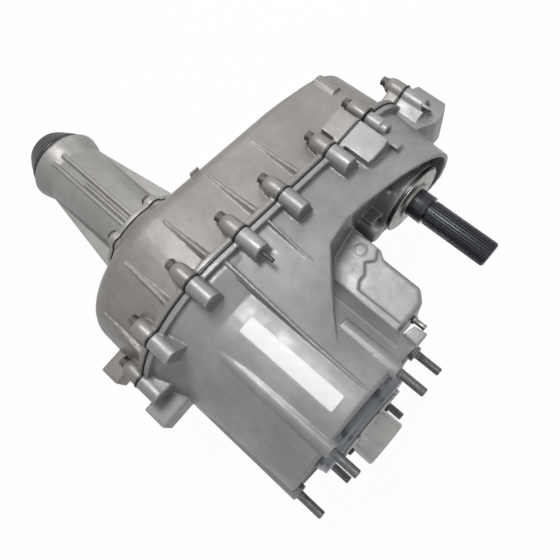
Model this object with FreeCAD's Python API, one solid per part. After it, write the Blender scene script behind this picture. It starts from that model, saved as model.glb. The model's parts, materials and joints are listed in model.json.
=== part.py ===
import FreeCAD, Part
import math
import os

# Part-time chain drive transfer case.
# X runs forward along the input shaft, Y runs from the main shaft to the front output shaft,
# Z points up. The origin is the centre of the stud face at the gearbox end. Millimetres.

os.makedirs("parts", exist_ok=True)
V = FreeCAD.Vector

# Driving dimensions: shafts, chain and gear set
chain_pitch = 11.1125
chain_links = 74
sprocket_teeth = 31
shaft_distance = chain_pitch * (chain_links - sprocket_teeth) / 2
gear_module = 1.7
sun_teeth = 50
planet_teeth = 18
annulus_teeth = sun_teeth + 2 * planet_teeth
planet_count = 4

# Gearbox end
stud_circle_radius = 100.0
stud_count = 6
stud_phase = -6.9
stud_radius = 5.0
stud_tap_radius = 4.6
stud_standout = 31.5
stud_depth = 26.0
column_radius = 9.5
housing_radius = 104.0
housing_wall = 9.0
rim_x = -5.0
face_floor_x = -12.0
face_wall = 6.5
hub_radius = 66.0
hub_foot_radius = 67.5
register_rear_x = 1.0
hub_front = 7.5
retainer_radius = 47.5
input_seal_radius = 37.0
retainer_thickness = 4.0
screw_radius = 2.5
screw_circle = 41.5
screw_angles = (45, 135, 225, 315)
screw_end_x = 2.6
web_thickness = 7.0

# Case halves
split_x = -203.0
sealant_thickness = 1.6
sealant_squeeze = 1.0
flange_main_radius = 131.0
flange_front_radius = 78.0
flange_thickness = 7.0
flange_height = 8.0
case_wall = 7.0
chain_wall_x = -146.0
case_rear_x = -303.0
corner_round = 18.0
boss_radius = 10.5
slim_boss_radius = 8.0
boss_front_x = -173.0
boss_rear_x = -228.0

# Case bolts
bolt_radius = 4.0
bolt_head_radius = 6.2
bolt_head_height = 7.0
boss_dome = 9.0
boss_foot = 5.0
boss_neck = 9.0

# Tail housing
tail_flange_x = -336.0
tail_flange_radius = 63.5
tail_flange_thickness = 7.0
tail_radius = 41.5
tail_end_x = -502.5
tail_rim_radius = 48.5
tail_rim_width = 11.0
tail_wall = 7.0
tail_bolt_radius = 57.0
tail_lug_radius = 11.0
yoke_radius = 22.5
bush_wall = 4.0
bush_length = 35.0
seal_depth = 10.0
bush_rear_x = tail_end_x + seal_depth + 0.5
bush_front_x = bush_rear_x + bush_length
sensor_x = -400.0
sensor_radius = 9.0
sensor_seat_z = -60.0
tone_radius = 27.0

# Front output
shaft_tip_x = -7.3
spline_radius = 15.85
spline_depth = 1.35
spline_count = 28
collar_radius = 18.0
output_boss_radius = 45.0
output_boss_front = -122.0
rail_cap_front = -119.0
rail_cap_radius = 12.0
rail_cap_y = 178.0
rail_cap_z = 9.0
slinger_thickness = 1.5
slinger_lip = 3.0

# Input gear
input_tip_x = 36.5
input_radius = 27.6
input_bore_radius = 17.0
input_tail_x = -55.0

# Shift mechanism
sector_x = -117.0
sector_y = 143.0
sector_arm = 30.2
sector_hub_radius = 8.0
detent_distance = 16.0
detent_angle = -45.0
lever_length = 40.0
lever_angle = -10.0
rail_y = 36.0
rail_z = -76.0
rail_radius = 7.0
rail_angle = math.degrees(math.atan2(rail_z, rail_y))
rail_distance = math.hypot(rail_y, rail_z)
detent_radius = 4.0
detent_guide_top = -13.0

# Clearances
running_fit = 0.05
clearance = 0.3
seat_gap = 0.02

split_front = split_x + sealant_thickness / 2
split_rear = split_x - sealant_thickness / 2


# Form helpers

def cyl(x0, x1, radius, y=0.0, z=0.0):
    """Cylinder along X from x0 to x1."""
    low = min(x0, x1)
    return Part.makeCylinder(radius, abs(x1 - x0), V(low, y, z), V(1, 0, 0))


def ring(x0, x1, outer, inner, y=0.0, z=0.0):
    """Plain ring along X."""
    return cyl(x0, x1, outer, y, z).cut(cyl(min(x0, x1) - 1, max(x0, x1) + 1, inner, y, z))


def post(x, y, z0, z1, radius):
    """Cylinder along Z from z0 to z1."""
    return Part.makeCylinder(radius, z1 - z0, V(x, y, z0), V(0, 0, 1))


def block(x0, x1, y0, y1, z0, z1):
    """Box between two x, two y and two z values, the x values in either order."""
    return Part.makeBox(abs(x1 - x0), y1 - y0, z1 - z0, V(min(x0, x1), y0, z0))


def turned(profile, y=0.0, z=0.0):
    """Solid of revolution about the X direction through (y, z), from (x, radius) points."""
    points = [V(x, r, 0) for x, r in profile]
    face = Part.Face(Part.makePolygon(points + points[:1]))
    solid = face.revolve(V(0, 0, 0), V(1, 0, 0), 360)
    solid.translate(V(0, y, z))
    return solid


def prism_x(outline, x0, x1):
    """Solid along X from a closed list of (y, z) points."""
    points = [V(x0, y, z) for y, z in outline]
    return Part.Face(Part.makePolygon(points + points[:1])).extrude(V(x1 - x0, 0, 0))


def prism_z(outline, z0, z1):
    """Solid along Z from a closed list of (x, y) points."""
    points = [V(x, y, z0) for x, y in outline]
    return Part.Face(Part.makePolygon(points + points[:1])).extrude(V(0, 0, z1 - z0))


def fused(shapes):
    return shapes[0].multiFuse(shapes[1:]).removeSplitter()


def turned_about_x(shape, degrees, y=0.0, z=0.0):
    """Copy of a shape turned about the X direction through (y, z)."""
    copy = shape.copy()
    copy.rotate(V(0, y, z), V(1, 0, 0), degrees)
    return copy


def mirrored(shape):
    """Copy of a shape on the other side of the plane that holds both shafts."""
    return shape.mirror(V(0, 0, 0), V(0, 0, 1))


def belt_angle(main_radius, front_radius):
    return math.asin((main_radius - front_radius) / shaft_distance)


def belt_wire(x, main_radius, front_radius):
    """Outline round both shafts: two arcs joined by their outer tangents."""
    tilt = belt_angle(main_radius, front_radius)
    sine, cosine = math.sin(tilt), math.cos(tilt)
    main_top = V(x, main_radius * sine, main_radius * cosine)
    main_low = V(x, main_radius * sine, -main_radius * cosine)
    front_top = V(x, shaft_distance + front_radius * sine, front_radius * cosine)
    front_low = V(x, shaft_distance + front_radius * sine, -front_radius * cosine)
    edges = [
        Part.Arc(main_low, V(x, -main_radius, 0), main_top).toShape(),
        Part.LineSegment(main_top, front_top).toShape(),
        Part.Arc(front_top, V(x, shaft_distance + front_radius, 0), front_low).toShape(),
        Part.LineSegment(front_low, main_low).toShape(),
    ]
    return Part.Wire(edges)


def belt_prism(x0, x1, main_radius, front_radius):
    return Part.Face(belt_wire(x0, main_radius, front_radius)).extrude(V(x1 - x0, 0, 0))


def belt_loft(sections):
    """Drafted case body through (x, main radius, front radius) sections."""
    return Part.makeLoft([belt_wire(*section) for section in sections], True, True)


def belt_point(y, offset=0.0):
    """Height of the flange outline over a place between the shafts."""
    main_radius = flange_main_radius + offset
    tilt = belt_angle(flange_main_radius, flange_front_radius)
    return main_radius / math.cos(tilt) - y * math.tan(tilt)


def polar(radius, degrees):
    """(y, z) at an angle from +Y towards +Z."""
    turn = math.radians(degrees)
    return radius * math.cos(turn), radius * math.sin(turn)


# Toothed outlines

def involute(angle):
    return math.tan(angle) - angle


def gear_outline(teeth, tip_radius, root_radius, thinning, phase):
    """Involute spur gear outline, its tooth width scaled by thinning, one tooth at phase."""
    pitch_radius = gear_module * teeth / 2
    pressure = math.radians(20)
    base_radius = pitch_radius * math.cos(pressure)
    levels = [root_radius, (root_radius + pitch_radius) / 2, pitch_radius, tip_radius]
    half_widths = []
    for radius in levels:
        spread = math.acos(min(1.0, base_radius / radius))
        half = math.pi / (2 * teeth) * thinning + involute(pressure) - involute(spread)
        half_widths.append(half)
    points = []
    for tooth in range(teeth):
        centre = math.radians(phase) + 2 * math.pi * tooth / teeth
        sides = [(r, centre - h) for r, h in zip(levels, half_widths)]
        sides += [(r, centre + h) for r, h in reversed(list(zip(levels, half_widths)))]
        points += [(r * math.cos(a), r * math.sin(a)) for r, a in sides]
    return points


def spline_outline(count, outer, inner, grow=0.0, fill=0.46):
    """Straight-sided spline outline; grow widens each key and both radii."""
    points = []
    step = 2 * math.pi / count
    for key in range(count):
        centre = key * step
        foot = step * (fill / 2 + 0.06) + grow / inner
        tip = step * fill / 2 + grow / outer
        sides = [(inner + grow, centre - foot), (outer + grow, centre - tip)]
        sides += [(outer + grow, centre + tip), (inner + grow, centre + foot)]
        points += [(r * math.cos(a), r * math.sin(a)) for r, a in sides]
    return points


def moved(outline, y):
    return [(py + y, pz) for py, pz in outline]


# Case halves

column_rear_x = (-60.0, -72.0, -178.0, -178.0, -178.0, -72.0)
case_outer_main = flange_main_radius - flange_height
case_outer_front = flange_front_radius - flange_height
cavity_main = case_outer_main - case_wall
cavity_front = case_outer_front - case_wall
annulus_seat_radius = housing_radius - housing_wall
stud_angles = [stud_phase + 360.0 / stud_count * index for index in range(stud_count)]

# Bolt places round the flange: along the straight side, round the main end, round the front end
side_bolt_y = [196.0, 123.0, 61.0]
main_bolt_angles = [93.5, 125.0, 157.0]
front_bolt_angle = 76.0
ear_bolt_radius = 94.0
ear_bolt_angle = 20.0
long_bolt_index = 2
slim_boss_index = 6
lug_front_x = -150.0
pad_near = 212.0
pad_far = 246.0
pad_low = 48.0
pad_top = 87.0
pad_front_x = -162.0
pad_rear_x = -230.0


def boss_centres():
    """(y, z) of the flange bosses on the upper side, in order from the front output."""
    centres = [(y, belt_point(y)) for y in side_bolt_y]
    centres += [polar(flange_main_radius, angle) for angle in main_bolt_angles]
    near = polar(flange_front_radius, front_bolt_angle)
    far = polar(ear_bolt_radius, ear_bolt_angle)
    centres += [(shaft_distance + near[0], near[1]), (shaft_distance + far[0], far[1])]
    return centres


def boss_web(y, z, x0, x1, reach, radius, foot):
    """Plate that joins a boss to the case wall under it, with a foot that runs past its end."""
    hub_y = min(max(y, 0.0), shaft_distance)
    angle = math.degrees(math.atan2(z, y - hub_y))
    half = radius * 0.8
    plate = block(x0, x1, -reach, 0, -half, half)
    if foot:
        plate = plate.fuse(block(x1 - 1, x1 + foot, -reach, -boss_radius * 0.55, -half, half))
    plate.rotate(V(0, 0, 0), V(1, 0, 0), angle)
    plate.translate(V(0, y, z))
    return plate


def boss_body(y, z, x0, x1, radius, dome, neck):
    """One flange boss from the split face x0 to its end x1: domed, flat, or flared to a neck."""
    if dome:
        return turned([(x0, 0), (x0, radius), (x1 + dome, radius), (x1 + dome * 0.55, radius * 0.93),
                       (x1 + dome * 0.22, radius * 0.8), (x1, boss_radius * 0.62), (x1, 0)], y, z)
    if neck:
        return turned([(x0, 0), (x0, radius), (x1 - neck, radius + 1.6), (x1 - neck, radius),
                       (x1, radius), (x1, 0)], y, z)
    return cyl(x0, x1, radius, y, z)


def split_bosses(x0, x1, foot=0.0, dome=0.0, neck=0.0):
    """All flange bosses with their webs, both sides of the case."""
    shapes = []
    for index, (y, z) in enumerate(boss_centres()):
        slim = index == slim_boss_index
        reach = 32.0 if y > shaft_distance + flange_front_radius / 2 else 14.0
        radius = slim_boss_radius if slim else boss_radius
        web = boss_web(y, z, x0, x1 + dome, reach, radius, 0.0 if slim else foot)
        upper = boss_body(y, z, x0, x1, radius, dome, neck if slim else 0.0).fuse(web)
        shapes += [upper, mirrored(upper)]
    return shapes


def pad(x0, x1):
    """Flat pad over the flange between the last bolt of the side and the front output end."""
    return block(x0, x1, pad_near, pad_far, pad_low, pad_top)


def bolt_holes(x0, x1, radius):
    holes = []
    for y, z in boss_centres():
        holes += [cyl(x0, x1, radius, y, z), cyl(x0, x1, radius, y, -z)]
    return holes


def tapered_rib(x_tall, x_thin, y, z, direction, height, thickness, narrow=0.0):
    """Rib that stands height tall at x_tall and dies out at x_thin, up the given direction."""
    foot = 12.0
    outline = [V(x_tall, -foot, 0), V(x_tall, height, 0), V(x_thin, 0.5, 0), V(x_thin, -foot, 0)]
    plate = Part.Face(Part.makePolygon(outline + outline[:1])).extrude(V(0, 0, thickness))
    plate.translate(V(0, 0, -thickness / 2))
    if narrow:
        plan = [V(x_tall, -foot, thickness / 2), V(x_tall, -foot, -thickness / 2),
                V(x_thin, -foot, -narrow / 2), V(x_thin, -foot, narrow / 2)]
        wedge = Part.Face(Part.makePolygon(plan + plan[:1])).extrude(V(0, foot + height, 0))
        plate = plate.common(wedge)
    plate.rotate(V(0, 0, 0), V(1, 0, 0), direction)
    plate.translate(V(0, y, z))
    return plate


shoulder_edge = [(-116.0, 296.0), (-131.0, 226.0), (-139.0, 174.0), (-140.0, 148.0), (-134.0, 116.0),
                 (-108.0, 87.0), (-85.0, 64.0), (-60.0, 40.0), (-58.0, 25.0)]
front_end_radius = 100.0
front_draft_x = -50.0


def shoulder_region():
    """Plan outline of the chain wall and of the shoulder that sweeps onto the housing."""
    reach = shaft_distance + 200
    points = [(split_front, shoulder_edge[-1][1]), (split_front, reach), (shoulder_edge[0][0], reach)]
    points += shoulder_edge
    return prism_z(points, -200, 200)


def housing_body():
    """Round housing over the planetary gear set, flared back to the split flange."""
    chamfer = 3.0
    return turned([
        (face_floor_x, 0), (face_floor_x, housing_radius - 8), (rim_x, housing_radius - 8),
        (rim_x, housing_radius - chamfer), (rim_x - chamfer, housing_radius),
        (-110, housing_radius + 1.5), (-158, housing_radius + 5),
        (-190, case_outer_main), (split_front, case_outer_main), (split_front, 0)])


def stud_columns():
    """Half-round columns along the housing, one for each stud."""
    shapes = []
    centre_radius = stud_circle_radius - 1.0
    for angle, rear_x in zip(stud_angles, column_rear_x):
        y, z = polar(centre_radius, angle)
        shapes.append(cyl(rear_x, 0, column_radius, y, z))
        web = block(face_floor_x - 1, rim_x - 0.5, hub_radius - 4, centre_radius,
                    -web_thickness / 2, web_thickness / 2)
        shapes.append(turned_about_x(web, angle))
    return shapes


def shift_box_outline(inset):
    """Plan of the shift mechanism box, with a lobe over the sector shaft."""
    back, front = -150.0 - inset, -28.0 - inset
    near, far = 86.0, 151.0 - inset
    lobe = sector_y + 14.5 - inset
    return [(back, near), (back, lobe), (-100.0, lobe), (-92.0, far + 1), (-40.0, far),
            (front, far - 12), (front, near)]


box_top = 36.0
box_bottom = -38.0


def around_sector(radius, degrees):
    """(x, y) at an angle from +X towards +Y about the sector shaft."""
    turn = math.radians(degrees)
    return sector_x + radius * math.cos(turn), sector_y + radius * math.sin(turn)


def detent_place():
    return around_sector(detent_distance, detent_angle)


def shift_box():
    body = prism_z(shift_box_outline(0.0), box_bottom, box_top)
    corners = [edge for edge in body.Edges
               if abs(edge.Vertexes[0].Z - edge.Vertexes[-1].Z) > 10 and edge.Vertexes[0].X > -60
               and edge.Vertexes[0].Y > 100]
    body = body.makeFillet(9.0, corners)
    lid_edges = [edge for edge in body.Edges
                 if edge.BoundBox.ZMin > box_top - 0.01 and edge.BoundBox.XMax > -60]
    body = body.makeFillet(5.0, [edge for edge in lid_edges if edge.BoundBox.YMax > 120])
    lobe = prism_z([(-148, 98), (-148, sector_y + 14), (-104, sector_y + 14), (-97, 144),
                    (-105, 135), (-100, 129), (-96, 124), (-96, 115), (-90, 106), (-90, 98)], box_top - 1,
                   box_top + 3)
    lobe = lobe.fuse(post(sector_x, sector_y, box_top - 1, box_top + 3, 14.5))
    strip = prism_z([(-148, 96), (-148, 106), (-30, 106), (-30, 96)], box_top - 8, box_top + 3)
    blank = post(sector_x, sector_y, box_top, box_top + 3.8, 6.5)
    return [body, lobe, strip, blank]


def rail_guide(x0, x1, wall_radius):
    """Boss for the shift rail, carried by a web from the case wall."""
    web = block(x0, x1, rail_distance, wall_radius, -9, 9)
    return cyl(x0, x1, rail_radius + 5, rail_y, rail_z).fuse(turned_about_x(web, rail_angle))


def end_lug():
    """Lug at the outer end of the chain wall, beside the last flange bosses."""
    y0 = shaft_distance + case_outer_front - 10
    tip = shaft_distance + 116.0
    outline = [(y0, -30), (tip - 14, -27), (tip, -18), (tip, 16), (tip - 12, 26), (y0, 34)]
    plan = [(split_front, y0), (split_front, tip), (lug_front_x - 11, tip), (lug_front_x, tip - 20),
            (lug_front_x, tip - 34), (lug_front_x - 12, y0)]
    return prism_x(outline, split_front, lug_front_x).common(prism_z(plan, -40, 40))


def side_lugs():
    """Bracket lugs on the side away from the front output: one channel lug, front half."""
    y0, y1 = -146.0, -98.0
    plate = block(-184, -154, y0, y1, 4, 34)
    return plate.cut(block(-178, -160, y0 - 1, y0 + 22, 12, 26))


def front_case():
    draft = belt_loft([(split_front, case_outer_main, case_outer_front),
                       (front_draft_x, front_end_radius, case_outer_front - 10)])
    chain_part = draft.common(shoulder_region())
    flange = belt_prism(split_front, split_front + flange_thickness, flange_main_radius,
                        flange_front_radius)
    parts = [housing_body(), chain_part, flange]
    parts += stud_columns()
    parts += split_bosses(split_front, boss_front_x, foot=boss_foot, neck=boss_neck)
    parts.append(pad(split_front, pad_front_x).cut(
        block(-192, pad_front_x + 1, pad_near + 6, pad_far - 8, pad_top - 6, pad_top + 1)))
    parts.append(prism_z([(-24, 98), (-20, 116), (-4, 118), (-4, 98)], 6, 26))
    parts += shift_box()
    parts += [end_lug(), side_lugs()]
    parts += [cyl(face_floor_x - face_wall, register_rear_x, hub_foot_radius),
              cyl(face_floor_x, hub_front, hub_radius)]
    body = fused(parts)

    # Pocket in front of the chain wall, round the output boss
    pocket = belt_prism(chain_wall_x, -100, case_outer_main - 16, case_outer_front - 11)
    pocket = pocket.cut(block(-200, 0, -200, 158, -200, 200))
    body = body.cut(pocket)
    extras = [cyl(chain_wall_x - 7, output_boss_front, output_boss_radius, shaft_distance)]
    for angle in (20, 62, 118, 160, 200, 242, 298, 340):
        rib = block(chain_wall_x - 1, -130, output_boss_radius - 2, case_outer_front - 4, -2.5, 2.5)
        rib.translate(V(0, shaft_distance, 0))
        extras.append(turned_about_x(rib, angle, shaft_distance).common(draft))
    for angle, x_thin, height, thickness in ((76, -11, 4.0, 5.0), (35, -16, 4.5, 3.0),
                                             (-76, -11, 4.0, 5.0), (-35, -40, 4.5, 3.0)):
        y, z = polar(housing_radius, angle)
        extras.append(tapered_rib(split_front, x_thin, y, z, angle - 90, height + 6, thickness))
    extras.append(tapered_rib(split_front, -134, 90, belt_point(90) - flange_height - 1,
                              -12, 8.0, 4.0))
    extras.append(cyl(chain_wall_x - 1, rail_cap_front, rail_cap_radius, rail_cap_y, rail_cap_z))
    y, z = boss_centres()[slim_boss_index]
    for spike_y, spike_z, spike_x in ((y + 1, z - 4, boss_front_x + 22),
                                      (*boss_centres()[-1], boss_front_x + 12)):
        tilt = math.degrees(math.atan2(spike_z, spike_y - shaft_distance)) - 90
        spike = tapered_rib(boss_front_x - 1, spike_x, spike_y, spike_z, tilt, 3.0, 5.0, 1.0)
        extras += [spike, mirrored(spike)]
    body = fused([body] + extras)

    # Inside: gear set seat, chain space, shift box space, bearing and seal seats
    chain_back = chain_wall_x - 7
    cavity = turned([(face_floor_x - face_wall, 0), (face_floor_x - face_wall, annulus_seat_radius),
                     (-60, annulus_seat_radius), (-150, annulus_seat_radius + 4),
                     (-188, cavity_main), (split_front, cavity_main), (split_front, 0)])
    chain_space = belt_loft([(split_front, cavity_main, cavity_front),
                             (chain_back, annulus_seat_radius + 4, cavity_front - 2)])
    chain_space = chain_space.cut(block(-150, 0, -200, 200, -200, 200))
    box_space = prism_z(shift_box_outline(6.0), box_bottom + 7, box_top - 7)
    body = body.cut(fused([cavity, chain_space, box_space]))
    body = fused([body, rail_guide(-79.0, -62.0, annulus_seat_radius + 2),
                  post(*detent_place(), box_bottom + 5, detent_guide_top, detent_radius + 3.5)])
    seats = [cyl(-40, 2 + seat_gap, 45.0 + seat_gap), cyl(-40, 40, input_seal_radius)]
    seats += [cyl(screw_end_x - 0.2, 8, screw_radius + seat_gap, *polar(screw_circle, a))
              for a in screw_angles]
    seats.append(cyl(-80, -61, rail_radius + running_fit, rail_y, rail_z))
    seats.append(post(*detent_place(), box_bottom + 6, detent_guide_top + 1,
                      detent_radius + running_fit))
    seats += [cyl(-200, -131, 36.0 + seat_gap, shaft_distance)]
    seats += [cyl(-200, -100, 31.0 + seat_gap, shaft_distance)]
    for angle in stud_angles:
        y, z = polar(stud_circle_radius, angle)
        seats.append(cyl(-stud_depth, 1, stud_tap_radius + seat_gap, y, z))
    seats += bolt_holes(split_front - 1, boss_front_x - 5, bolt_radius + seat_gap)
    seats += bolt_holes(boss_front_x - 6, boss_front_x + 1, 2.4)
    seats.append(post(sector_x, sector_y, box_bottom - 1, box_top - 2, 6.0 + running_fit))
    seats.append(post(*detent_place(), box_bottom - 1, box_bottom + 8, 6.0 + seat_gap))
    seats.append(cyl(-60, 0, 3.0 + seat_gap, 123, 16))
    return body.cut(fused(seats))


rear_sections = 5
pump_arm_end = 106.0
tail_bolt_angles = (58, 118, 238, 302)
plug_seat_x = case_rear_x - 2.0
plug_places = ((200.0, -40.0), (165.0, 30.0))


def rear_shell(main_radius, front_radius, x_end, rounding):
    """Rear half body: straight wall, then a quarter-round corner made of short drafts."""
    sections = [(split_rear, main_radius, front_radius)]
    for index in range(rear_sections + 1):
        turn = math.pi / 2 * index / rear_sections
        x = x_end + rounding * (1 - math.sin(turn))
        shrink = rounding * (1 - math.cos(turn)) + 2.0
        sections.append((x, main_radius - shrink, front_radius - shrink))
    return belt_loft(sections)


def rear_case():
    shell = rear_shell(case_outer_main, case_outer_front, case_rear_x, corner_round)
    # The rear wall leans forward towards the front output
    lean = prism_z([(case_rear_x - 1, 170), (case_rear_x - 1, 400), (-272, 400), (-284, 290)],
                   -200, 200)
    shell = shell.cut(lean)
    flange = belt_prism(split_rear, split_rear - flange_thickness, flange_main_radius,
                        flange_front_radius)
    dome = turned([(-260, 0), (-260, case_outer_main - 6), (-286, case_outer_main - 10),
                   (-303, 96), (-318, 78), (-329, 68), (tail_flange_x + 0.5, tail_flange_radius),
                   (tail_flange_x + 0.5, 0)])
    parts = [shell, flange, dome, pad(split_rear, pad_rear_x)]
    parts += split_bosses(split_rear, boss_rear_x, dome=boss_dome)
    parts += [cyl(tail_flange_x + 0.5, -316, tail_lug_radius, *polar(tail_bolt_radius, a))
              for a in tail_bolt_angles]
    for angle, x_thin in ((80, -277), (108, -282), (140, -278), (-80, -277), (-108, -282),
                          (-140, -278)):
        y, z = polar(case_outer_main - 1, angle)
        parts.append(tapered_rib(split_rear, x_thin, y, z, angle - 90, 8.0, 8.0, 2.0))
    for rib_y, x_thin in ((90, -300), (154, -292)):
        z = belt_point(min(rib_y, shaft_distance)) - flange_height - 2
        rib = tapered_rib(split_rear, x_thin, rib_y, z, -12, 8.0, 8.0, 2.0)
        parts += [rib, mirrored(rib)]
    y, z = polar(case_outer_front - 2, 55)
    end_rib = tapered_rib(split_rear, -245, shaft_distance + y, z, -35, 7.0, 3.5)
    parts += [end_rib, mirrored(end_rib), cyl(-286, -256, 11, 266, 56)]
    parts += [cyl(plug_seat_x, -286, 15, y, z) for y, z in plug_places]
    parts.append(block(-254, -229, -148, -100, 4, 34))
    body = fused(parts)
    cavity = rear_shell(cavity_main, cavity_front, case_rear_x + 12, corner_round - 4)
    cavity = cavity.cut(prism_z([(case_rear_x - 1, 158), (case_rear_x - 1, 400), (-263, 400),
                                 (-275, 290)], -200, 200))
    body = body.cut(cavity)
    pump_stop = block(-284, -274, -14, 14, 96, cavity_main + 2)
    pump_stop = pump_stop.cut(block(-285, -273, -8 - clearance, 8 + clearance, 95, pump_arm_end + 1))
    body = fused([body, ring(-286, -214, 34, 26, shaft_distance), pump_stop,
                  rail_guide(-256.0, -240.0, cavity_main + 1)])
    cuts = [cyl(-320, -290, 40 + seat_gap), cyl(-340, -300, 32)]
    cuts += [cyl(-233, -200, 26 + seat_gap, shaft_distance),
             cyl(-257, -239, rail_radius + running_fit, rail_y, rail_z)]
    cuts += bolt_holes(boss_rear_x - 1, split_rear + 1, bolt_radius + seat_gap)
    cuts += [cyl(plug_seat_x - 1, -270, 9 + seat_gap, y, z) for y, z in plug_places]
    cuts += [cyl(-345, -321, 4 + seat_gap, *polar(tail_bolt_radius, a)) for a in tail_bolt_angles]
    return body.cut(fused(cuts))


def case_sealant():
    outline = belt_prism(split_rear, split_front, flange_main_radius + sealant_squeeze,
                         flange_front_radius + sealant_squeeze)
    rings = [outline, pad(split_rear, split_front)] + split_bosses(split_rear, split_front)
    for y, z in boss_centres():
        rings += [cyl(split_rear, split_front, boss_radius + sealant_squeeze, y, z),
                  cyl(split_rear, split_front, boss_radius + sealant_squeeze, y, -z)]
    bead = fused(rings).cut(belt_prism(split_rear - 1, split_front + 1, cavity_main, cavity_front))
    return bead.cut(fused(bolt_holes(split_rear - 1, split_front + 1, bolt_radius + seat_gap)))


def hexagon(x0, x1, radius, y, z):
    return prism_x([(y + py, z + pz) for py, pz in [polar(radius, 60 * k) for k in range(6)]], x0, x1)


def case_bolt(y, z, extra):
    """Hex bolt from the rear boss face into the front boss."""
    head_x = boss_rear_x - bolt_head_height
    shank = cyl(boss_rear_x, boss_front_x - 6, bolt_radius, y, z)
    washer = cyl(boss_rear_x - 1.2, boss_rear_x, bolt_head_radius + 0.3, y, z)
    head = hexagon(head_x, boss_rear_x, bolt_head_radius, y, z)
    pieces = [shank, washer, head]
    if extra:
        pieces.append(cyl(boss_front_x - 7, boss_front_x + extra, 2.3, y, z))
    return fused(pieces)


def case_bolts():
    bolts = []
    for index, (y, z) in enumerate(boss_centres()):
        bolts.append(case_bolt(y, z, 15.0 if index == long_bolt_index else 0.0))
        bolts.append(case_bolt(y, -z, 0.0))
    return Part.makeCompound(bolts)


def adapter_studs():
    studs = []
    chamfer = 1.2
    for angle in stud_angles:
        y, z = polar(stud_circle_radius, angle)
        profile = [(-stud_depth, 0), (-stud_depth, stud_tap_radius), (0, stud_tap_radius),
                   (0, stud_radius), (stud_standout - chamfer, stud_radius),
                   (stud_standout, stud_radius - chamfer), (stud_standout, 0)]
        studs.append(turned(profile, y, z))
    return Part.makeCompound(studs)


# Tail housing


def tail_housing():
    neck_x = tail_flange_x - tail_flange_thickness
    body = turned([
        (tail_flange_x - 0.5, 0), (tail_flange_x - 0.5, tail_flange_radius),
        (neck_x, tail_flange_radius), (neck_x, tail_radius + 3), (neck_x - 14, tail_radius),
        (tail_end_x + tail_rim_width + 14, tail_radius), (tail_end_x + tail_rim_width, tail_rim_radius - 2),
        (tail_end_x + 2, tail_rim_radius), (tail_end_x, tail_rim_radius - 1.5), (tail_end_x, 0)])
    parts = [body]
    for angle in (0, 180):
        gusset = Part.Face(Part.makePolygon([
            V(neck_x, 30, 0), V(neck_x, tail_flange_radius - 1, 0), V(-478, tail_radius + 1, 0),
            V(-478, 30, 0), V(neck_x, 30, 0)])).extrude(V(0, 0, 9))
        gusset.translate(V(0, 0, -4.5))
        parts.append(turned_about_x(gusset, angle))
    for angle, x_end in ((102, -484), (82, -482), (258, -484), (278, -482)):
        rib = block(x_end, neck_x, 30, tail_radius + 5, -2, 2)
        parts.append(turned_about_x(rib, angle))
    parts.append(turned_about_x(block(-430, neck_x, 30, tail_radius + 3, -1.5, 1.5), 94))
    for angle in tail_bolt_angles:
        y, z = polar(tail_bolt_radius, angle)
        parts.append(cyl(neck_x - 3, tail_flange_x - 0.5, tail_lug_radius, y, z))
    parts.append(post(sensor_x, 0, sensor_seat_z, -38, sensor_radius + 5))
    shell = fused(parts)
    bore = tail_radius - tail_wall
    cuts = [cyl(bush_front_x + 1, -300, bore), cyl(-520, -300, yoke_radius + bush_wall + seat_gap),
            cyl(-520, tail_end_x + seal_depth + seat_gap, 36 + seat_gap)]
    for angle in tail_bolt_angles:
        y, z = polar(tail_bolt_radius, angle)
        cuts.append(cyl(-400, -300, 4 + seat_gap, y, z))
    cuts.append(post(sensor_x, 0, sensor_seat_z - 1, -20, sensor_radius + seat_gap))
    return shell.cut(fused(cuts))


def tail_sealant():
    rings = [cyl(tail_flange_x - 0.5, tail_flange_x + 0.5, tail_flange_radius + sealant_squeeze)]
    rings += [cyl(tail_flange_x - 0.5, tail_flange_x + 0.5, tail_lug_radius + sealant_squeeze,
                  *polar(tail_bolt_radius, a)) for a in tail_bolt_angles]
    gasket = fused(rings).cut(cyl(-340, -330, 40))
    holes = [cyl(-340, -330, 4 + seat_gap, *polar(tail_bolt_radius, a)) for a in tail_bolt_angles]
    return gasket.cut(fused(holes))


def tail_bolts():
    seat_x = tail_flange_x - tail_flange_thickness - 3
    bolts = []
    for angle in tail_bolt_angles:
        y, z = polar(tail_bolt_radius, angle)
        bolts.append(fused([cyl(seat_x, -322, 4, y, z), hexagon(seat_x - 6, seat_x, 6.5, y, z)]))
    return Part.makeCompound(bolts)


def tail_seal():
    """Shaft seal with its rubber boot, open in the middle for the slip yoke."""
    lip = yoke_radius + 0.6
    profile = [(seal_depth, lip + 2), (seal_depth, 36), (0, 36), (0, 44.5), (-3, 44.5), (-5, 41.5),
               (-8, 43), (-12.5, 42), (-15, 38), (-18.5, 39), (-22, 34.5), (-25.5, 35.5), (-29, 30.5),
               (-32, 31), (-34.5, 28.5), (-36.5, 28), (-36.5, lip), (-33.5, lip), (-30, 26), (-12, 37),
               (-3, 38), (-2, 34), (0, lip)]
    return turned([(tail_end_x + step, radius) for step, radius in profile])


# Bearings

def bearing(x0, x1, inner, outer, balls, y=0.0):
    """Outer race, inner race and balls of a deep groove ball bearing."""
    middle = (inner + outer) / 2
    ball = (outer - inner) * 0.28
    x = (x0 + x1) / 2
    shoulder = (outer - inner) * 0.16
    groove = Part.makeTorus(middle, ball + 0.1, V(x, y, 0), V(1, 0, 0))
    outer_race = ring(x0, x1, outer, middle + shoulder, y).cut(groove)
    inner_race = ring(x0, x1, middle - shoulder, inner, y).cut(groove)
    spheres = []
    for index in range(balls):
        py, pz = polar(middle, 360.0 * index / balls)
        spheres.append(Part.makeSphere(ball, V(x, py + y, pz)))
    return outer_race, inner_race, spheres


# Gear set

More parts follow.
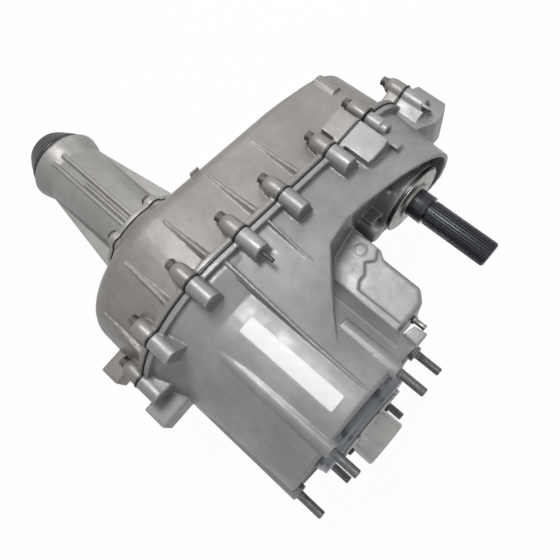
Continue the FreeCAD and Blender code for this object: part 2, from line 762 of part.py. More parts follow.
sun_radius = gear_module * sun_teeth / 2
planet_radius = gear_module * planet_teeth / 2
annulus_radius = gear_module * annulus_teeth / 2
carrier_radius = sun_radius + planet_radius
addendum = 0.8 * gear_module
dedendum = 1.15 * gear_module
gear_front_x = -25.0
gear_rear_x = -50.0
tooth_thinning = 0.9


def input_gear():
    sun = prism_x(gear_outline(sun_teeth, sun_radius + addendum, sun_radius - dedendum,
                               tooth_thinning, 0), gear_rear_x - 1, gear_front_x + 1)
    shaft = turned([(input_tip_x, 0), (input_tip_x, input_radius - 1.5),
                    (input_tip_x - 1.5, input_radius), (-16.5, input_radius), (-16.5, 33),
                    (gear_front_x + 1, 33), (gear_front_x + 1, 38), (input_tail_x, 38),
                    (input_tail_x, 0)])
    body = sun.fuse(shaft)
    spline = prism_x(spline_outline(24, input_bore_radius, input_bore_radius - 1.6), -20, input_tip_x + 1)
    cuts = [spline, cyl(input_tip_x - 6, input_tip_x + 1, input_bore_radius + 2.5),
            cyl(input_tail_x - 1, -20, 12 + running_fit), cyl(input_tail_x - 1, -42, 33)]
    return body.cut(fused(cuts))


def annulus_gear():
    blank = cyl(gear_rear_x, gear_front_x, annulus_seat_radius - seat_gap)
    teeth = prism_x(gear_outline(annulus_teeth, annulus_radius + dedendum, annulus_radius - addendum,
                                 2 - tooth_thinning, 180.0 / annulus_teeth),
                    gear_rear_x - 1, gear_front_x + 1)
    return blank.cut(teeth)


def planet_gear(index):
    angle = 360.0 / planet_count * index
    y, z = polar(carrier_radius, angle)
    phase = angle + (0 if index % 2 else 180.0 / planet_teeth)
    outline = gear_outline(planet_teeth, planet_radius + addendum, planet_radius - dedendum,
                           tooth_thinning, phase)
    gear = prism_x([(py + y, pz + z) for py, pz in outline], gear_rear_x + 1, gear_front_x - 1)
    return gear.cut(cyl(-60, 0, 7 + running_fit, y, z))


def planet_carrier():
    front = ring(-23, -19.5, 74, sun_radius + 3)
    rear = ring(-60, -51.5, 76, 46.5)
    clutch = ring(-86, -60, 53, 46.5)
    teeth = ring(-86, -76, 52, 45)
    posts = []
    for index in range(planet_count):
        angle = 360.0 / planet_count * (index + 0.5)
        y, z = polar(carrier_radius, angle)
        posts.append(cyl(-60, -19.5, 8, y, z))
    body = fused([front, rear, clutch, teeth] + posts)
    holes = [cyl(-62, -18, 7 + seat_gap, *polar(carrier_radius, 360.0 / planet_count * index))
             for index in range(planet_count)]
    return body.cut(fused(holes))


def planet_pins():
    return Part.makeCompound([cyl(-59, -20, 7, *polar(carrier_radius, 360.0 / planet_count * index))
                              for index in range(planet_count)])


def range_hub():
    """Sliding hub: front dogs for high range, wide dogs for low range, fork groove behind."""
    body = fused([
        prism_x(spline_outline(24, 32.5, 30.5), -62, -52), cyl(-102, -62, 30),
        prism_x(spline_outline(36, 44.5, 42.5), -74, -64), cyl(-98, -92, 40), cyl(-115, -108, 40),
        cyl(-108, -98, 33)])
    return body.cut(prism_x(spline_outline(24, 19, 17.2, running_fit), -120, -50))


def mainshaft():
    body = [
        turned([(-30, 0), (-30, 11), (-31, 12), (-62.5, 12), (-62.5, 17), (-66, 17), (-66, 0)]),
        prism_x(spline_outline(24, 19, 17.2), -148, -64),
        turned([(-147, 0), (-147, 24), (-151, 24), (-151, 22), (-209, 22), (-209, 0)]),
        prism_x(spline_outline(24, 22, 20), -241, -208),
        turned([(-240, 0), (-240, 20.5), (-299, 20.5), (-299, 20), (-321, 20), (-322, 18.5),
                (-346, 18.5), (-346, 0)]),
        prism_x(spline_outline(30, 17.5, 16.1), bush_front_x + 3, -345),
    ]
    return fused(body)


sprocket_front_x = -157.0
sprocket_rear_x = -193.0
pitch_circle = chain_pitch / (2 * math.sin(math.pi / sprocket_teeth))
sprocket_tip = pitch_circle - 2.4
sprocket_root = sprocket_tip - 5.0


def sprocket(bore, y):
    outline = []
    step = 360.0 / sprocket_teeth
    for tooth in range(sprocket_teeth):
        centre = tooth * step
        for radius, offset in ((sprocket_root, -0.34), (sprocket_tip, -0.17), (sprocket_tip, 0.17),
                               (sprocket_root, 0.34)):
            outline.append(polar(radius, centre + offset * step))
    teeth = prism_x(moved(outline, y), sprocket_rear_x, sprocket_front_x)
    recess = [ring(x, x + 9, sprocket_root - 6, bore + 8, y)
              for x in (sprocket_rear_x - 1, sprocket_front_x - 8)]
    return teeth.cut(fused(recess + [cyl(-250, -100, bore, y)]))


def drive_sprocket():
    clutch = prism_x(spline_outline(36, 36, 34), -207, -186).cut(cyl(-250, -100, 22 + running_fit))
    return sprocket(22 + running_fit, 0).fuse(clutch)


def driven_sprocket():
    return sprocket(19 + seat_gap, shaft_distance)


# Chain: pin links and plain links laced side by side

plate_back = 4.2
plate_inner = 1.5


def link_plate(x0, x1, length):
    reach = 3.4
    outline = [(-reach, 0), (-reach * 0.7, plate_back * 0.8), (0, plate_back), (length, plate_back),
               (length + reach * 0.7, plate_back * 0.8), (length + reach, 0),
               (length + reach * 0.6, -plate_inner), (-reach * 0.6, -plate_inner)]
    return prism_x(outline, x0, x1)


def chain():
    middle = (sprocket_front_x + sprocket_rear_x) / 2
    run = shaft_distance
    wrap = math.pi * pitch_circle
    total = 2 * run + 2 * wrap
    step = total / chain_links

    def place(distance):
        distance = distance % total
        if distance < run:
            return distance, pitch_circle
        if distance < run + wrap:
            turn = math.pi / 2 - (distance - run) / pitch_circle
            return run + pitch_circle * math.cos(turn), pitch_circle * math.sin(turn)
        if distance < 2 * run + wrap:
            return 2 * run + wrap - distance, -pitch_circle
        turn = -math.pi / 2 - (distance - 2 * run - wrap) / pitch_circle
        return pitch_circle * math.cos(turn), pitch_circle * math.sin(turn)

    links = []
    for index in range(chain_links):
        y0, z0 = place(index * step)
        y1, z1 = place((index + 1) * step)
        length = math.hypot(y1 - y0, z1 - z0)
        if index % 2:
            laces = [(middle - 9, middle - 3.2), (middle + 3.2, middle + 9)]
            link = fused([link_plate(x0, x1, length) for x0, x1 in laces])
            link = link.cut(fused([cyl(-220, -140, 2.1), cyl(-220, -140, 2.1, length)]))
        else:
            laces = [(middle - 15, middle - 9.2), (middle - 3, middle + 3), (middle + 9.2, middle + 15)]
            pins = [cyl(middle - 16, middle + 16, 1.9), cyl(middle - 16, middle + 16, 1.9, length)]
            link = fused([link_plate(x0, x1, length) for x0, x1 in laces] + pins)
        link.rotate(V(0, 0, 0), V(1, 0, 0), math.degrees(math.atan2(z1 - z0, y1 - y0)))
        link.translate(V(0, y0, z0))
        links.append(link)
    return Part.makeCompound([solid for link in links for solid in link.Solids])


# Mode clutch

def mode_hub():
    body = prism_x(spline_outline(36, 36, 34), -240, -213)
    return body.cut(prism_x(spline_outline(24, 22, 20, seat_gap), -250, -200))


def synchro_ring():
    return ring(-212.7, -207.4, 36, 22 + seat_gap)


def mode_sleeve():
    body = cyl(-235, -203, 44)
    body = body.cut(prism_x(spline_outline(36, 36, 34, clearance), -250, -190))
    body = body.cut(cyl(-250, -190, 36 + clearance))
    return body.cut(ring(-224, -216, 60, 40))


# Oil pump

pump_x = -270.0
pickup_angle = -30.0
pickup_y = 150.0
elbow_y, elbow_z = polar(74.0, pickup_angle)

def oil_pump_body():
    body = ring(-282, -258, 50, 28.5)
    spout = turned_about_x(Part.makeCylinder(8, 18, V(pump_x, 46, 0), V(0, 1, 0)), pickup_angle)
    arm = block(-282, -276, -8, 8, 45, pump_arm_end)
    return fused([body, spout, arm])


def oil_pump_rotor():
    return ring(-280, -260, 28.2, 20.5 + seat_gap)


def pickup_tube():
    elbow = V(pump_x, elbow_y, elbow_z)
    stub = Part.makeCylinder(5, 10 - seat_gap, V(pump_x, 64 + seat_gap, 0), V(0, 1, 0))
    run = Part.makeCylinder(5, pickup_y - seat_gap - elbow_y, elbow, V(0, 1, 0))
    return fused([turned_about_x(stub, pickup_angle), Part.makeSphere(5, elbow), run])


def pickup_screen():
    frame = block(-284, -256, pickup_y, pickup_y + 30, elbow_z - 10, elbow_z + 6)
    slots = [block(-281 + 5 * k, -278.5 + 5 * k, pickup_y + 4, pickup_y + 26, elbow_z - 11, elbow_z - 4)
             for k in range(5)]
    return frame.cut(fused(slots))


# Front output

def front_output_shaft():
    y = shaft_distance
    spline_rear = -92.0
    keys = prism_x(moved(spline_outline(spline_count, spline_radius, spline_radius - spline_depth), y),
                   spline_rear, shaft_tip_x)
    tip = turned([(shaft_tip_x, 0), (shaft_tip_x, spline_radius - 2), (shaft_tip_x - 2.2, spline_radius + 0.2),
                  (spline_rear - 1, spline_radius + 0.2), (spline_rear - 1, 0)], y)
    body = turned([(spline_rear + 1, 0), (spline_rear + 1, 14.2), (-95, 14.2), (-95, collar_radius),
                   (-131, collar_radius), (-131, 17.5), (-150, 17.5), (-150, 22), (-156.5, 22),
                   (-156.5, 19), (-193.5, 19), (-193.5, 15), (-232, 15), (-233, 14), (-233, 0)], y)
    return keys.common(tip).fuse(body)


def front_slinger():
    y = shaft_distance
    x0 = output_boss_front + clearance
    plate_x = x0 + slinger_lip
    disc = ring(plate_x, plate_x + slinger_thickness, output_boss_radius - 1.5, collar_radius + seat_gap, y)
    hub = ring(x0, plate_x + slinger_thickness + 3, 24, collar_radius + seat_gap, y)
    return disc.fuse(hub)


def slinger_ring():
    """Rubber lip on the back of the slinger."""
    x0 = output_boss_front + clearance
    return ring(x0, x0 + slinger_lip - seat_gap, output_boss_radius, 24 + seat_gap, shaft_distance)


# Shift mechanism

def shift_sector():
    def fan(radius, start, end):
        points = [(sector_x, sector_y)]
        points += [around_sector(radius, start + (end - start) * k / 8) for k in range(9)]
        return prism_z(points, -2, 4)

    pieces = [post(sector_x, sector_y, -64, box_top - 3, 6),
              post(sector_x, sector_y, -6, 8, sector_hub_radius),
              fan(sector_arm + 7, 245, 295), fan(detent_distance + 4, -74, -1),
              post(sector_x, sector_y - sector_arm, -16, -1, 4)]
    return fused(pieces)


def shift_lever():
    eye_x, eye_y = around_sector(lever_length, lever_angle)
    arm = prism_z([around_sector(9, lever_angle + 90), around_sector(9, lever_angle - 90),
                   around_sector(lever_length, lever_angle - 9),
                   around_sector(lever_length, lever_angle + 9)], -54, -49)
    eye = post(eye_x, eye_y, -54, -49, 8)
    hub = post(sector_x, sector_y, -56, -47, 11)
    cuts = [post(sector_x, sector_y, -60, -40, 6 + seat_gap), post(eye_x, eye_y, -60, -40, 4)]
    return fused([arm, eye, hub]).cut(fused(cuts))


def lever_nut():
    points = [around_sector(9, 60 * k) for k in range(6)]
    return prism_z(points, -63, -56 - seat_gap).cut(post(sector_x, sector_y, -70, -50, 6 + seat_gap))


def fork(x0, x1, inner, outer, arm_angle):
    """C-shaped fork round the main axis, open opposite its arm."""
    shape = ring(x0, x1, outer, inner)
    mouth = block(x0 - 1, x1 + 1, 0, outer + 5, -inner - 2, inner + 2)
    mouth = turned_about_x(mouth, arm_angle + 180)
    return shape.cut(mouth)


def range_fork():
    plate = fork(-107.7, -98.3, 33.4, 52, rail_angle)
    neck = turned_about_x(block(-107.7, -98.3, 45, rail_distance, -9, 9), rail_angle)
    tube = cyl(-118, -90, 11, rail_y, rail_z)
    arm = block(-107.7, -98.3, 34, sector_y - sector_arm + 9, -15, -6)
    arm = arm.cut(cyl(-120, -80, 46))
    hook = block(sector_x - 6.5, -98.3, sector_y - sector_arm - 10, sector_y - sector_arm + 9, -15, -6)
    slot = block(sector_x - 4.65, sector_x + 4.65, sector_y - sector_arm - 6, sector_y - sector_arm + 10,
                 -20, 0)
    body = fused([plate, neck, tube, arm, hook])
    return body.cut(fused([slot, cyl(-130, -80, rail_radius + running_fit, rail_y, rail_z)]))


def mode_fork():
    plate = fork(-223.7, -216.3, 40.4, 54, rail_angle)
    neck = turned_about_x(block(-223.7, -216.3, 48, rail_distance, -8, 8), rail_angle)
    tube = cyl(-232, -206, 11.5, rail_y, rail_z)
    body = fused([plate, neck, tube])
    return body.cut(cyl(-260, -190, rail_radius + seat_gap, rail_y, rail_z))


def shift_rail():
    return cyl(-252, -66, rail_radius, rail_y, rail_z)


def detent_plunger():
    x, y = detent_place()
    tip = Part.makeCone(detent_radius, 2, 2.5, V(x, y, -4.8), V(0, 0, 1))
    return fused([post(x, y, -24, -4.8, detent_radius), tip])


def detent_plug():
    x, y = detent_place()
    corners = [polar(8, 60 * k) for k in range(6)]
    head = prism_z([(x + px, y + py) for px, py in corners], box_bottom - 5, box_bottom)
    return fused([head, post(x, y, box_bottom - 1, box_bottom + 7, 6), post(x, y, -31.5, -27.3, 3)])


def vent_nipple():
    return turned([(-34, 1.6), (-34, 3), (-27, 3), (-27, 5), (-23, 5), (-23, 3.3), (-13, 3.3), (-12, 3.9),
                   (-10, 3.5), (-10, 1.6)], 123, 16)


def drain_fill_plugs():
    plugs = []
    for y, z in plug_places:
        body = cyl(plug_seat_x, plug_seat_x + 16, 9, y, z)
        head = hexagon(plug_seat_x - 8, plug_seat_x, 12, y, z)
        plugs.append(fused([body, head]))
    return Part.makeCompound(plugs)


def speed_sensor():
    body = post(sensor_x, 0, sensor_seat_z - 1, -tone_radius - 1.5, sensor_radius)
    cap = block(sensor_x - 12, sensor_x + 12, -11, 11, sensor_seat_z - 12, sensor_seat_z - seat_gap)
    return body.fuse(cap)


def tone_wheel():
    outline = []
    for tooth in range(20):
        for radius, offset in ((24, -0.25), (tone_radius, -0.2), (tone_radius, 0.2), (24, 0.25)):
            outline.append(polar(radius, (tooth + offset) * 18.0))
    return prism_x(outline, sensor_x - 6, sensor_x + 6).cut(cyl(-420, -380, 17.5 + seat_gap))


def retainer_screw(angle):
    y, z = polar(screw_circle, angle)
    top = hub_front + retainer_thickness
    return fused([cyl(top, top + 3, 4, y, z), cyl(screw_end_x, top, screw_radius, y, z)])


def bearing_retainer():
    plate = ring(hub_front, hub_front + retainer_thickness, retainer_radius,
                 input_seal_radius + seat_gap)
    tab = block(hub_front, hub_front + retainer_thickness, 44, 53, -6, 6)
    body = fused([plate, tab])
    holes = [cyl(0, 20, screw_radius + seat_gap, *polar(screw_circle, a)) for a in screw_angles]
    return body.cut(fused(holes))


def main():
    input_outer, input_inner, input_balls = bearing(-16, 2, input_radius + seat_gap, 45, 11)
    rear_outer, rear_inner, rear_balls = bearing(-319, -300, 20 + seat_gap, 40, 9)
    output_outer, output_inner, output_balls = bearing(-150, -131, 17.5 + seat_gap, 36, 9, shaft_distance)
    nodes = {
        "front_case": front_case(),
        "rear_case": rear_case(),
        "tail_housing": tail_housing(),
        "case_sealant": case_sealant(),
        "tail_sealant": tail_sealant(),
        "case_bolts": case_bolts(),
        "tail_bolts": tail_bolts(),
        "adapter_studs": adapter_studs(),
        "input_gear": input_gear(),
        "input_bearing_outer": input_outer,
        "input_bearing_inner": input_inner,
        "bearing_balls": Part.makeCompound(input_balls + rear_balls + output_balls),
        "bearing_retainer": bearing_retainer(),
        "retainer_screws": Part.makeCompound([retainer_screw(a) for a in screw_angles]),
        "input_seal": ring(3, 11, input_seal_radius - seat_gap, input_radius + seat_gap),
        "annulus_gear": annulus_gear(),
        "planet_carrier": planet_carrier(),
        "planet_pins": planet_pins(),
        "range_hub": range_hub(),
        "mainshaft": mainshaft(),
        "drive_sprocket": drive_sprocket(),
        "driven_sprocket": driven_sprocket(),
        "chain": chain(),
        "mode_hub": mode_hub(),
        "synchro_ring": synchro_ring(),
        "mode_sleeve": mode_sleeve(),
        "oil_pump_body": oil_pump_body(),
        "oil_pump_rotor": oil_pump_rotor(),
        "pickup_tube": pickup_tube(),
        "pickup_screen": pickup_screen(),
        "rear_bearing_outer": rear_outer,
        "rear_bearing_inner": rear_inner,
        "tail_bush": ring(bush_rear_x, bush_front_x, yoke_radius + bush_wall, yoke_radius),
        "tail_seal": tail_seal(),
        "front_output_shaft": front_output_shaft(),
        "front_slinger": front_slinger(),
        "slinger_ring": slinger_ring(),
        "front_seal": ring(-130.9, output_boss_front - 0.5, 31, collar_radius + seat_gap, shaft_distance),
        "front_bearing_outer": output_outer,
        "front_bearing_inner": output_inner,
        "shaft_end_bearing": ring(-232, -215, 26, 15 + running_fit, shaft_distance),
        "shift_sector": shift_sector(),
        "shift_lever": shift_lever(),
        "lever_nut": lever_nut(),
        "shift_rail": shift_rail(),
        "range_fork": range_fork(),
        "mode_fork": mode_fork(),
        "detent_plunger": detent_plunger(),
        "detent_plug": detent_plug(),
        "vent_nipple": vent_nipple(),
        "drain_fill_plugs": drain_fill_plugs(),
        "speed_sensor": speed_sensor(),
        "tone_wheel": tone_wheel(),
    }
    for index in range(planet_count):
        nodes["planet_gear_%d" % (index + 1)] = planet_gear(index)
    for name, shape in nodes.items():
        shape.exportStep("parts/%s.step" % name)
        print(name, "solids", len(shape.Solids), "valid", shape.isValid(), "faces", len(shape.Faces))


main()
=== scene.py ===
import json
import math

import bmesh
import bpy
from mathutils import Matrix, Vector


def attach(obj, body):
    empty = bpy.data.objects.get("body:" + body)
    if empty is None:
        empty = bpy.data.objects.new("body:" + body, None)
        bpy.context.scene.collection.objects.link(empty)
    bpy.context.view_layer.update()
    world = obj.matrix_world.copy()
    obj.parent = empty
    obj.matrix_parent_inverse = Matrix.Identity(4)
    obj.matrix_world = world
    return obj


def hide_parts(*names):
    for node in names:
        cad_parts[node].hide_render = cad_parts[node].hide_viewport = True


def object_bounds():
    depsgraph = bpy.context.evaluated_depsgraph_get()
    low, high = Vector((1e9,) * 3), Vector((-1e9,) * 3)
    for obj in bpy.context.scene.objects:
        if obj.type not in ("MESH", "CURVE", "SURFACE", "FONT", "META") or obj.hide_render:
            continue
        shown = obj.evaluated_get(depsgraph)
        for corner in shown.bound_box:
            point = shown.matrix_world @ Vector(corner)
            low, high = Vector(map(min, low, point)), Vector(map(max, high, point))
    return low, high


# Dressing of a part-time chain drive transfer case. X runs forward along the input shaft,
# Y runs to the front output shaft, Z points up. Metres.

# Places and sizes shared with the solids
STUD_CIRCLE = 0.100
STUD_COUNT = 6
STUD_FIRST_ANGLE = math.radians(-6.9)
STUD_RADIUS = 0.005
STUD_TIP = 0.0315
STUD_FOOT = -0.026
STUD_PITCH = 0.0015
STUD_THREAD_START = 0.004
STUD_CHAMFER = 0.0012

HOUSING_PROFILE = ((-0.190, 0.1230), (-0.158, 0.1090), (-0.110, 0.1055), (-0.008, 0.1040))
STICKER_X = (-0.141, -0.022)
STICKER_Y = (-0.013, 0.007)
STICKER_LIFT = 0.00025
STICKER_THICKNESS = 0.0002

REGISTER_RADIUS = 0.0685

TAIL_END = -0.5025
YOKE_LIP = 0.0231
# Outer line of the dust boot: distance behind the tail end, radius
BOOT_RIDGES = ((0.0, 0.0440), (0.0030, 0.0440), (0.0055, 0.0412), (0.0080, 0.0428), (0.0125, 0.0420),
               (0.0150, 0.0380), (0.0185, 0.0390), (0.0220, 0.0345), (0.0255, 0.0355),
               (0.0290, 0.0305), (0.0320, 0.0310), (0.0345, 0.0285), (0.0362, 0.0278))
BOOT_END = 0.0365

# Camera solved from the photograph
CAMERA_PLACE = (0.0196, -0.0093, 0.6678)
CAMERA_RIGHT = (0.73986616, 0.65715317, -0.14404089)
CAMERA_DOWN = (0.61225184, -0.7464525, -0.26068438)
CAMERA_FORWARD = (-0.27882925, 0.10468225, -0.95461818)
CAMERA_LENS = 37.902

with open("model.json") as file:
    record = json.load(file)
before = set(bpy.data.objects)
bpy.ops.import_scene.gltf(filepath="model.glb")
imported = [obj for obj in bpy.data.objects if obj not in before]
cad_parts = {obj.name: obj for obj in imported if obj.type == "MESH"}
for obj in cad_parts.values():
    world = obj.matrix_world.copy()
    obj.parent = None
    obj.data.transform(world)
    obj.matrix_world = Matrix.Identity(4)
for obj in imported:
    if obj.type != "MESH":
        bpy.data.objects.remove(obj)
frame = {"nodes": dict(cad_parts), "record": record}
cad_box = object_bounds()
solids = frame["nodes"]


# Finishes

class Finish:
    """A procedural surface finish that reads Object coordinates."""

    def __init__(self, name, metallic=0.0, roughness=0.5):
        self.material = bpy.data.materials.new(name)
        self.material.use_nodes = True
        self.tree = self.material.node_tree
        self.shader = self.tree.nodes["Principled BSDF"]
        self.shader.inputs["Metallic"].default_value = metallic
        self.shader.inputs["Roughness"].default_value = roughness
        self.place = self.tree.nodes.new("ShaderNodeTexCoord").outputs["Object"]
        self.geometry = self.tree.nodes.new("ShaderNodeNewGeometry")

    def node(self, kind, inputs=None, **settings):
        made = self.tree.nodes.new(kind)
        for key, value in settings.items():
            setattr(made, key, value)
        for key, value in (inputs or {}).items():
            if isinstance(value, bpy.types.NodeSocket):
                self.tree.links.new(value, made.inputs[key])
            else:
                made.inputs[key].default_value = value
        return made

    def noise(self, scale, detail=3.0, stretch=None):
        """Noise from 0 to 1; stretch scales X, Y and Z first, for brushed or turned marks."""
        place = self.place
        if stretch:
            place = self.node("ShaderNodeMapping", {"Vector": place, "Scale": stretch}).outputs[0]
        return self.node("ShaderNodeTexNoise", {"Vector": place, "Scale": scale, "Detail": detail,
                                                "Roughness": 0.55}).outputs["Fac"]

    def math(self, operation, a, b=0.0, clamp=False):
        return self.node("ShaderNodeMath", {0: a, 1: b}, operation=operation, use_clamp=clamp).outputs[0]

    def spread(self, value, low, high, to_low=0.0, to_high=1.0):
        """Straight map of a range, held at both ends."""
        return self.node("ShaderNodeMapRange", {"Value": value, "From Min": low, "From Max": high,
                                                "To Min": to_low, "To Max": to_high}).outputs[0]

    def blend(self, factor, low, high):
        """Colour between two colours, each a tuple or a socket."""
        made = self.node("ShaderNodeMix", data_type="RGBA")
        for socket, value in ((made.inputs[0], factor), (made.inputs[6], low), (made.inputs[7], high)):
            if isinstance(value, bpy.types.NodeSocket):
                self.tree.links.new(value, socket)
            elif isinstance(value, tuple):
                socket.default_value = value + (1.0,)
            else:
                socket.default_value = value
        return made.outputs[2]

    def colour(self, socket):
        self.tree.links.new(socket, self.shader.inputs["Base Color"])

    def roughness(self, socket):
        self.tree.links.new(socket, self.shader.inputs["Roughness"])

    def relief(self, *layers):
        """Bumps laid over each other, each a height socket, its depth in metres and strength."""
        normal = None
        for height, depth, strength in layers:
            inputs = {"Height": height, "Distance": depth, "Strength": strength}
            if normal:
                inputs["Normal"] = normal
            normal = self.node("ShaderNodeBump", inputs).outputs[0]
        self.tree.links.new(normal, self.shader.inputs["Normal"])

    def axis(self, index):
        return self.node("ShaderNodeSeparateXYZ", {0: self.place}).outputs[index]

    def facing_x(self):
        """1 where a face looks along +X or -X."""
        straight = self.node("ShaderNodeSeparateXYZ", {0: self.geometry.outputs["True Normal"]})
        return self.spread(self.math("ABSOLUTE", straight.outputs[0]), 0.985, 0.997)


def cast_aluminium(name, base, shade, machined_beyond=None):
    """Satin sand-cast alloy: fine grain, soft stains, lighter sharp edges, painted shade in hollow
    corners, and machined end faces.
    """
    finish = Finish(name, metallic=0.35)
    stain = finish.spread(finish.noise(11.0, 4.0), 0.36, 0.64)
    mottle = finish.spread(finish.noise(95.0, 5.0), 0.35, 0.68)
    grain = finish.noise(900.0, 3.0)
    tone = finish.blend(stain, shade, base)
    tone = finish.blend(finish.math("MULTIPLY", mottle, 0.30), tone, tuple(0.78 * c for c in shade))
    speck = finish.math("MULTIPLY", finish.spread(grain, 0.30, 0.42, 1.0, 0.0), 0.22)
    tone = finish.blend(speck, tone, tuple(0.5 * c for c in shade))
    # Sharp edges made lighter from Pointiness.
    edge = finish.spread(finish.geometry.outputs["Pointiness"], 0.515, 0.56)
    tone = finish.blend(finish.math("MULTIPLY", edge, 0.55), tone,
                        tuple(min(1.0, 1.35 * c) for c in base))
    # Painted shade: hollow corners and creases are darkened from Pointiness in place of the shade that
    # falls into them.
    corner = finish.spread(finish.geometry.outputs["Pointiness"], 0.42, 0.485, 1.0, 0.0)
    tone = finish.blend(finish.math("MULTIPLY", corner, 0.45), tone, tuple(0.42 * c for c in shade))
    rough = finish.spread(finish.noise(60.0, 4.0), 0.3, 0.7, 0.36, 0.52)
    if machined_beyond is not None:
        ahead = finish.math("GREATER_THAN", finish.axis(0), machined_beyond)
        across = finish.math("MULTIPLY", finish.axis(1), finish.axis(1))
        upright = finish.math("MULTIPLY", finish.axis(2), finish.axis(2))
        from_axis = finish.math("SQRT", finish.math("ADD", across, upright))
        register = finish.math("MULTIPLY", ahead, finish.math("LESS_THAN", from_axis, REGISTER_RADIUS))
        cut = finish.math("MAXIMUM", register, finish.math("MULTIPLY", ahead, finish.facing_x()))
        tone = finish.blend(cut, tone, (0.235, 0.25, 0.275))
        rough = finish.spread(cut, 0.0, 1.0, rough, 0.30)
    finish.colour(tone)
    finish.roughness(rough)
    ripple = finish.noise(140.0, 2.0)
    finish.relief((ripple, 0.0010, 0.10), (grain, 0.0004, 0.16))
    return finish.material


def turned_steel(name, base, rough, marks=2400.0, mark_depth=0.00006, film=None):
    """Steel turned about X: fine rings, with a faint film of oil or oxide."""
    finish = Finish(name, metallic=1.0)
    rings = finish.noise(1.0, 2.0, stretch=(marks, 14.0, 14.0))
    cloud = finish.spread(finish.noise(34.0, 4.0), 0.35, 0.68)
    other = film or tuple(0.74 * c for c in base)
    tone = finish.blend(cloud, base, other)
    tone = finish.blend(finish.math("MULTIPLY", finish.spread(rings, 0.3, 0.7), 0.10), tone,
                        tuple(0.6 * c for c in base))
    finish.colour(tone)
    finish.roughness(finish.spread(rings, 0.3, 0.7, rough * 0.75, rough * 1.3))
    finish.relief((rings, mark_depth, 0.5))
    return finish.material


def coated_steel(name, base, shine, rough, wear=0.5, metallic=0.85):
    """Zinc, phosphate or oxide coat over steel, rubbed bright on its edges."""
    finish = Finish(name, metallic=metallic)
    cloud = finish.spread(finish.noise(150.0, 4.0), 0.34, 0.68)
    fine = finish.noise(1600.0, 3.0)
    tone = finish.blend(cloud, base, tuple(0.62 * c for c in base))
    edge = finish.spread(finish.geometry.outputs["Pointiness"], 0.52, 0.60)
    rub = finish.math("MULTIPLY", edge, finish.spread(fine, 0.35, 0.6, 0.4, 1.0))
    tone = finish.blend(finish.math("MULTIPLY", rub, wear), tone, shine)
    finish.colour(tone)
    finish.roughness(finish.spread(cloud, 0.0, 1.0, rough, rough + 0.14))
    finish.relief((fine, 0.00015, 0.18))
    return finish.material


def moulded_rubber(name, base, rough):
    finish = Finish(name)
    dust = finish.spread(finish.noise(70.0, 5.0), 0.42, 0.70)
    fine = finish.noise(1300.0, 3.0)
    tone = finish.blend(finish.math("MULTIPLY", dust, 0.35), base, tuple(c + 0.035 for c in base))
    finish.colour(tone)
    finish.roughness(finish.spread(dust, 0.0, 1.0, rough, rough + 0.16))
    finish.relief((fine, 0.00025, 0.16))
    return finish.material


def sealant_bead(name):
    """Cured silicone squeezed out of the joint: black, soft, slightly uneven."""
    finish = Finish(name)
    ooze = finish.noise(420.0, 3.0)
    finish.colour(finish.blend(finish.spread(ooze, 0.35, 0.65), (0.010, 0.010, 0.011),
                               (0.030, 0.030, 0.032)))
    finish.roughness(finish.spread(ooze, 0.3, 0.7, 0.34, 0.52))
    finish.relief((ooze, 0.0009, 0.5))
    return finish.material


def sticker_paper(name):
    """Blank white film label with a faint tooth and handled edges."""
    finish = Finish(name)
    tooth = finish.noise(1500.0, 2.0)
    handling = finish.spread(finish.noise(26.0, 5.0), 0.45, 0.75)
    finish.colour(finish.blend(finish.math("MULTIPLY", handling, 0.5), (0.90, 0.90, 0.905),
                               (0.83, 0.83, 0.84)))
    finish.roughness(finish.spread(tooth, 0.3, 0.7, 0.40, 0.55))
    finish.relief((tooth, 0.00005, 0.2))
    return finish.material


def stage_finish(name):
    """White floor that keeps the soft shadow and shows white to the camera and to metal."""
    finish = Finish(name, roughness=0.9)
    finish.colour(finish.blend(finish.noise(2.0, 2.0), (0.90, 0.90, 0.90), (0.93, 0.93, 0.93)))
    rays = finish.tree.nodes.new("ShaderNodeLightPath")
    seen = finish.math("MAXIMUM", rays.outputs["Is Camera Ray"], rays.outputs["Is Glossy Ray"])
    seen = finish.math("MAXIMUM", seen, rays.outputs["Is Transmission Ray"])
    glow = finish.node("ShaderNodeEmission", {"Color": (1.0, 1.0, 1.0, 1.0), "Strength": 1.0})
    share = finish.node("ShaderNodeMixShader", {0: finish.math("MULTIPLY", seen, 0.97),
                                                1: finish.shader.outputs[0], 2: glow.outputs[0]})
    output = finish.tree.nodes["Material Output"]
    finish.tree.links.new(share.outputs[0], output.inputs["Surface"])
    return finish.material


cast_rear = cast_aluminium("cast_rear", (0.285, 0.270, 0.254), (0.205, 0.192, 0.180))
cast_front = cast_aluminium("cast_front", (0.325, 0.322, 0.322), (0.235, 0.234, 0.238), -0.0135)
cast_tail = cast_aluminium("cast_tail", (0.335, 0.325, 0.312), (0.265, 0.256, 0.245))
zinc_stud = coated_steel("zinc_stud", (0.115, 0.12, 0.125), (0.42, 0.43, 0.44), 0.32)
bolt_coat = coated_steel("bolt_coat", (0.040, 0.038, 0.035), (0.22, 0.21, 0.20), 0.38)
ground_steel = turned_steel("ground_steel", (0.34, 0.335, 0.325), 0.22)
gear_steel = turned_steel("gear_steel", (0.42, 0.41, 0.40), 0.30, marks=1500.0,
                          film=(0.33, 0.30, 0.26))
bearing_steel = turned_steel("bearing_steel", (0.68, 0.68, 0.69), 0.12)
black_oxide = coated_steel("black_oxide", (0.030, 0.033, 0.040), (0.18, 0.19, 0.21), 0.26, wear=0.35,
                           metallic=0.6)
bronze = turned_steel("bronze", (0.52, 0.36, 0.18), 0.30, film=(0.40, 0.26, 0.13))
pump_alloy = cast_aluminium("pump_alloy", (0.50, 0.50, 0.50), (0.40, 0.40, 0.40))
seal_rubber = moulded_rubber("seal_rubber", (0.012, 0.012, 0.014), 0.30)
black_plastic = moulded_rubber("black_plastic", (0.020, 0.020, 0.022), 0.42)
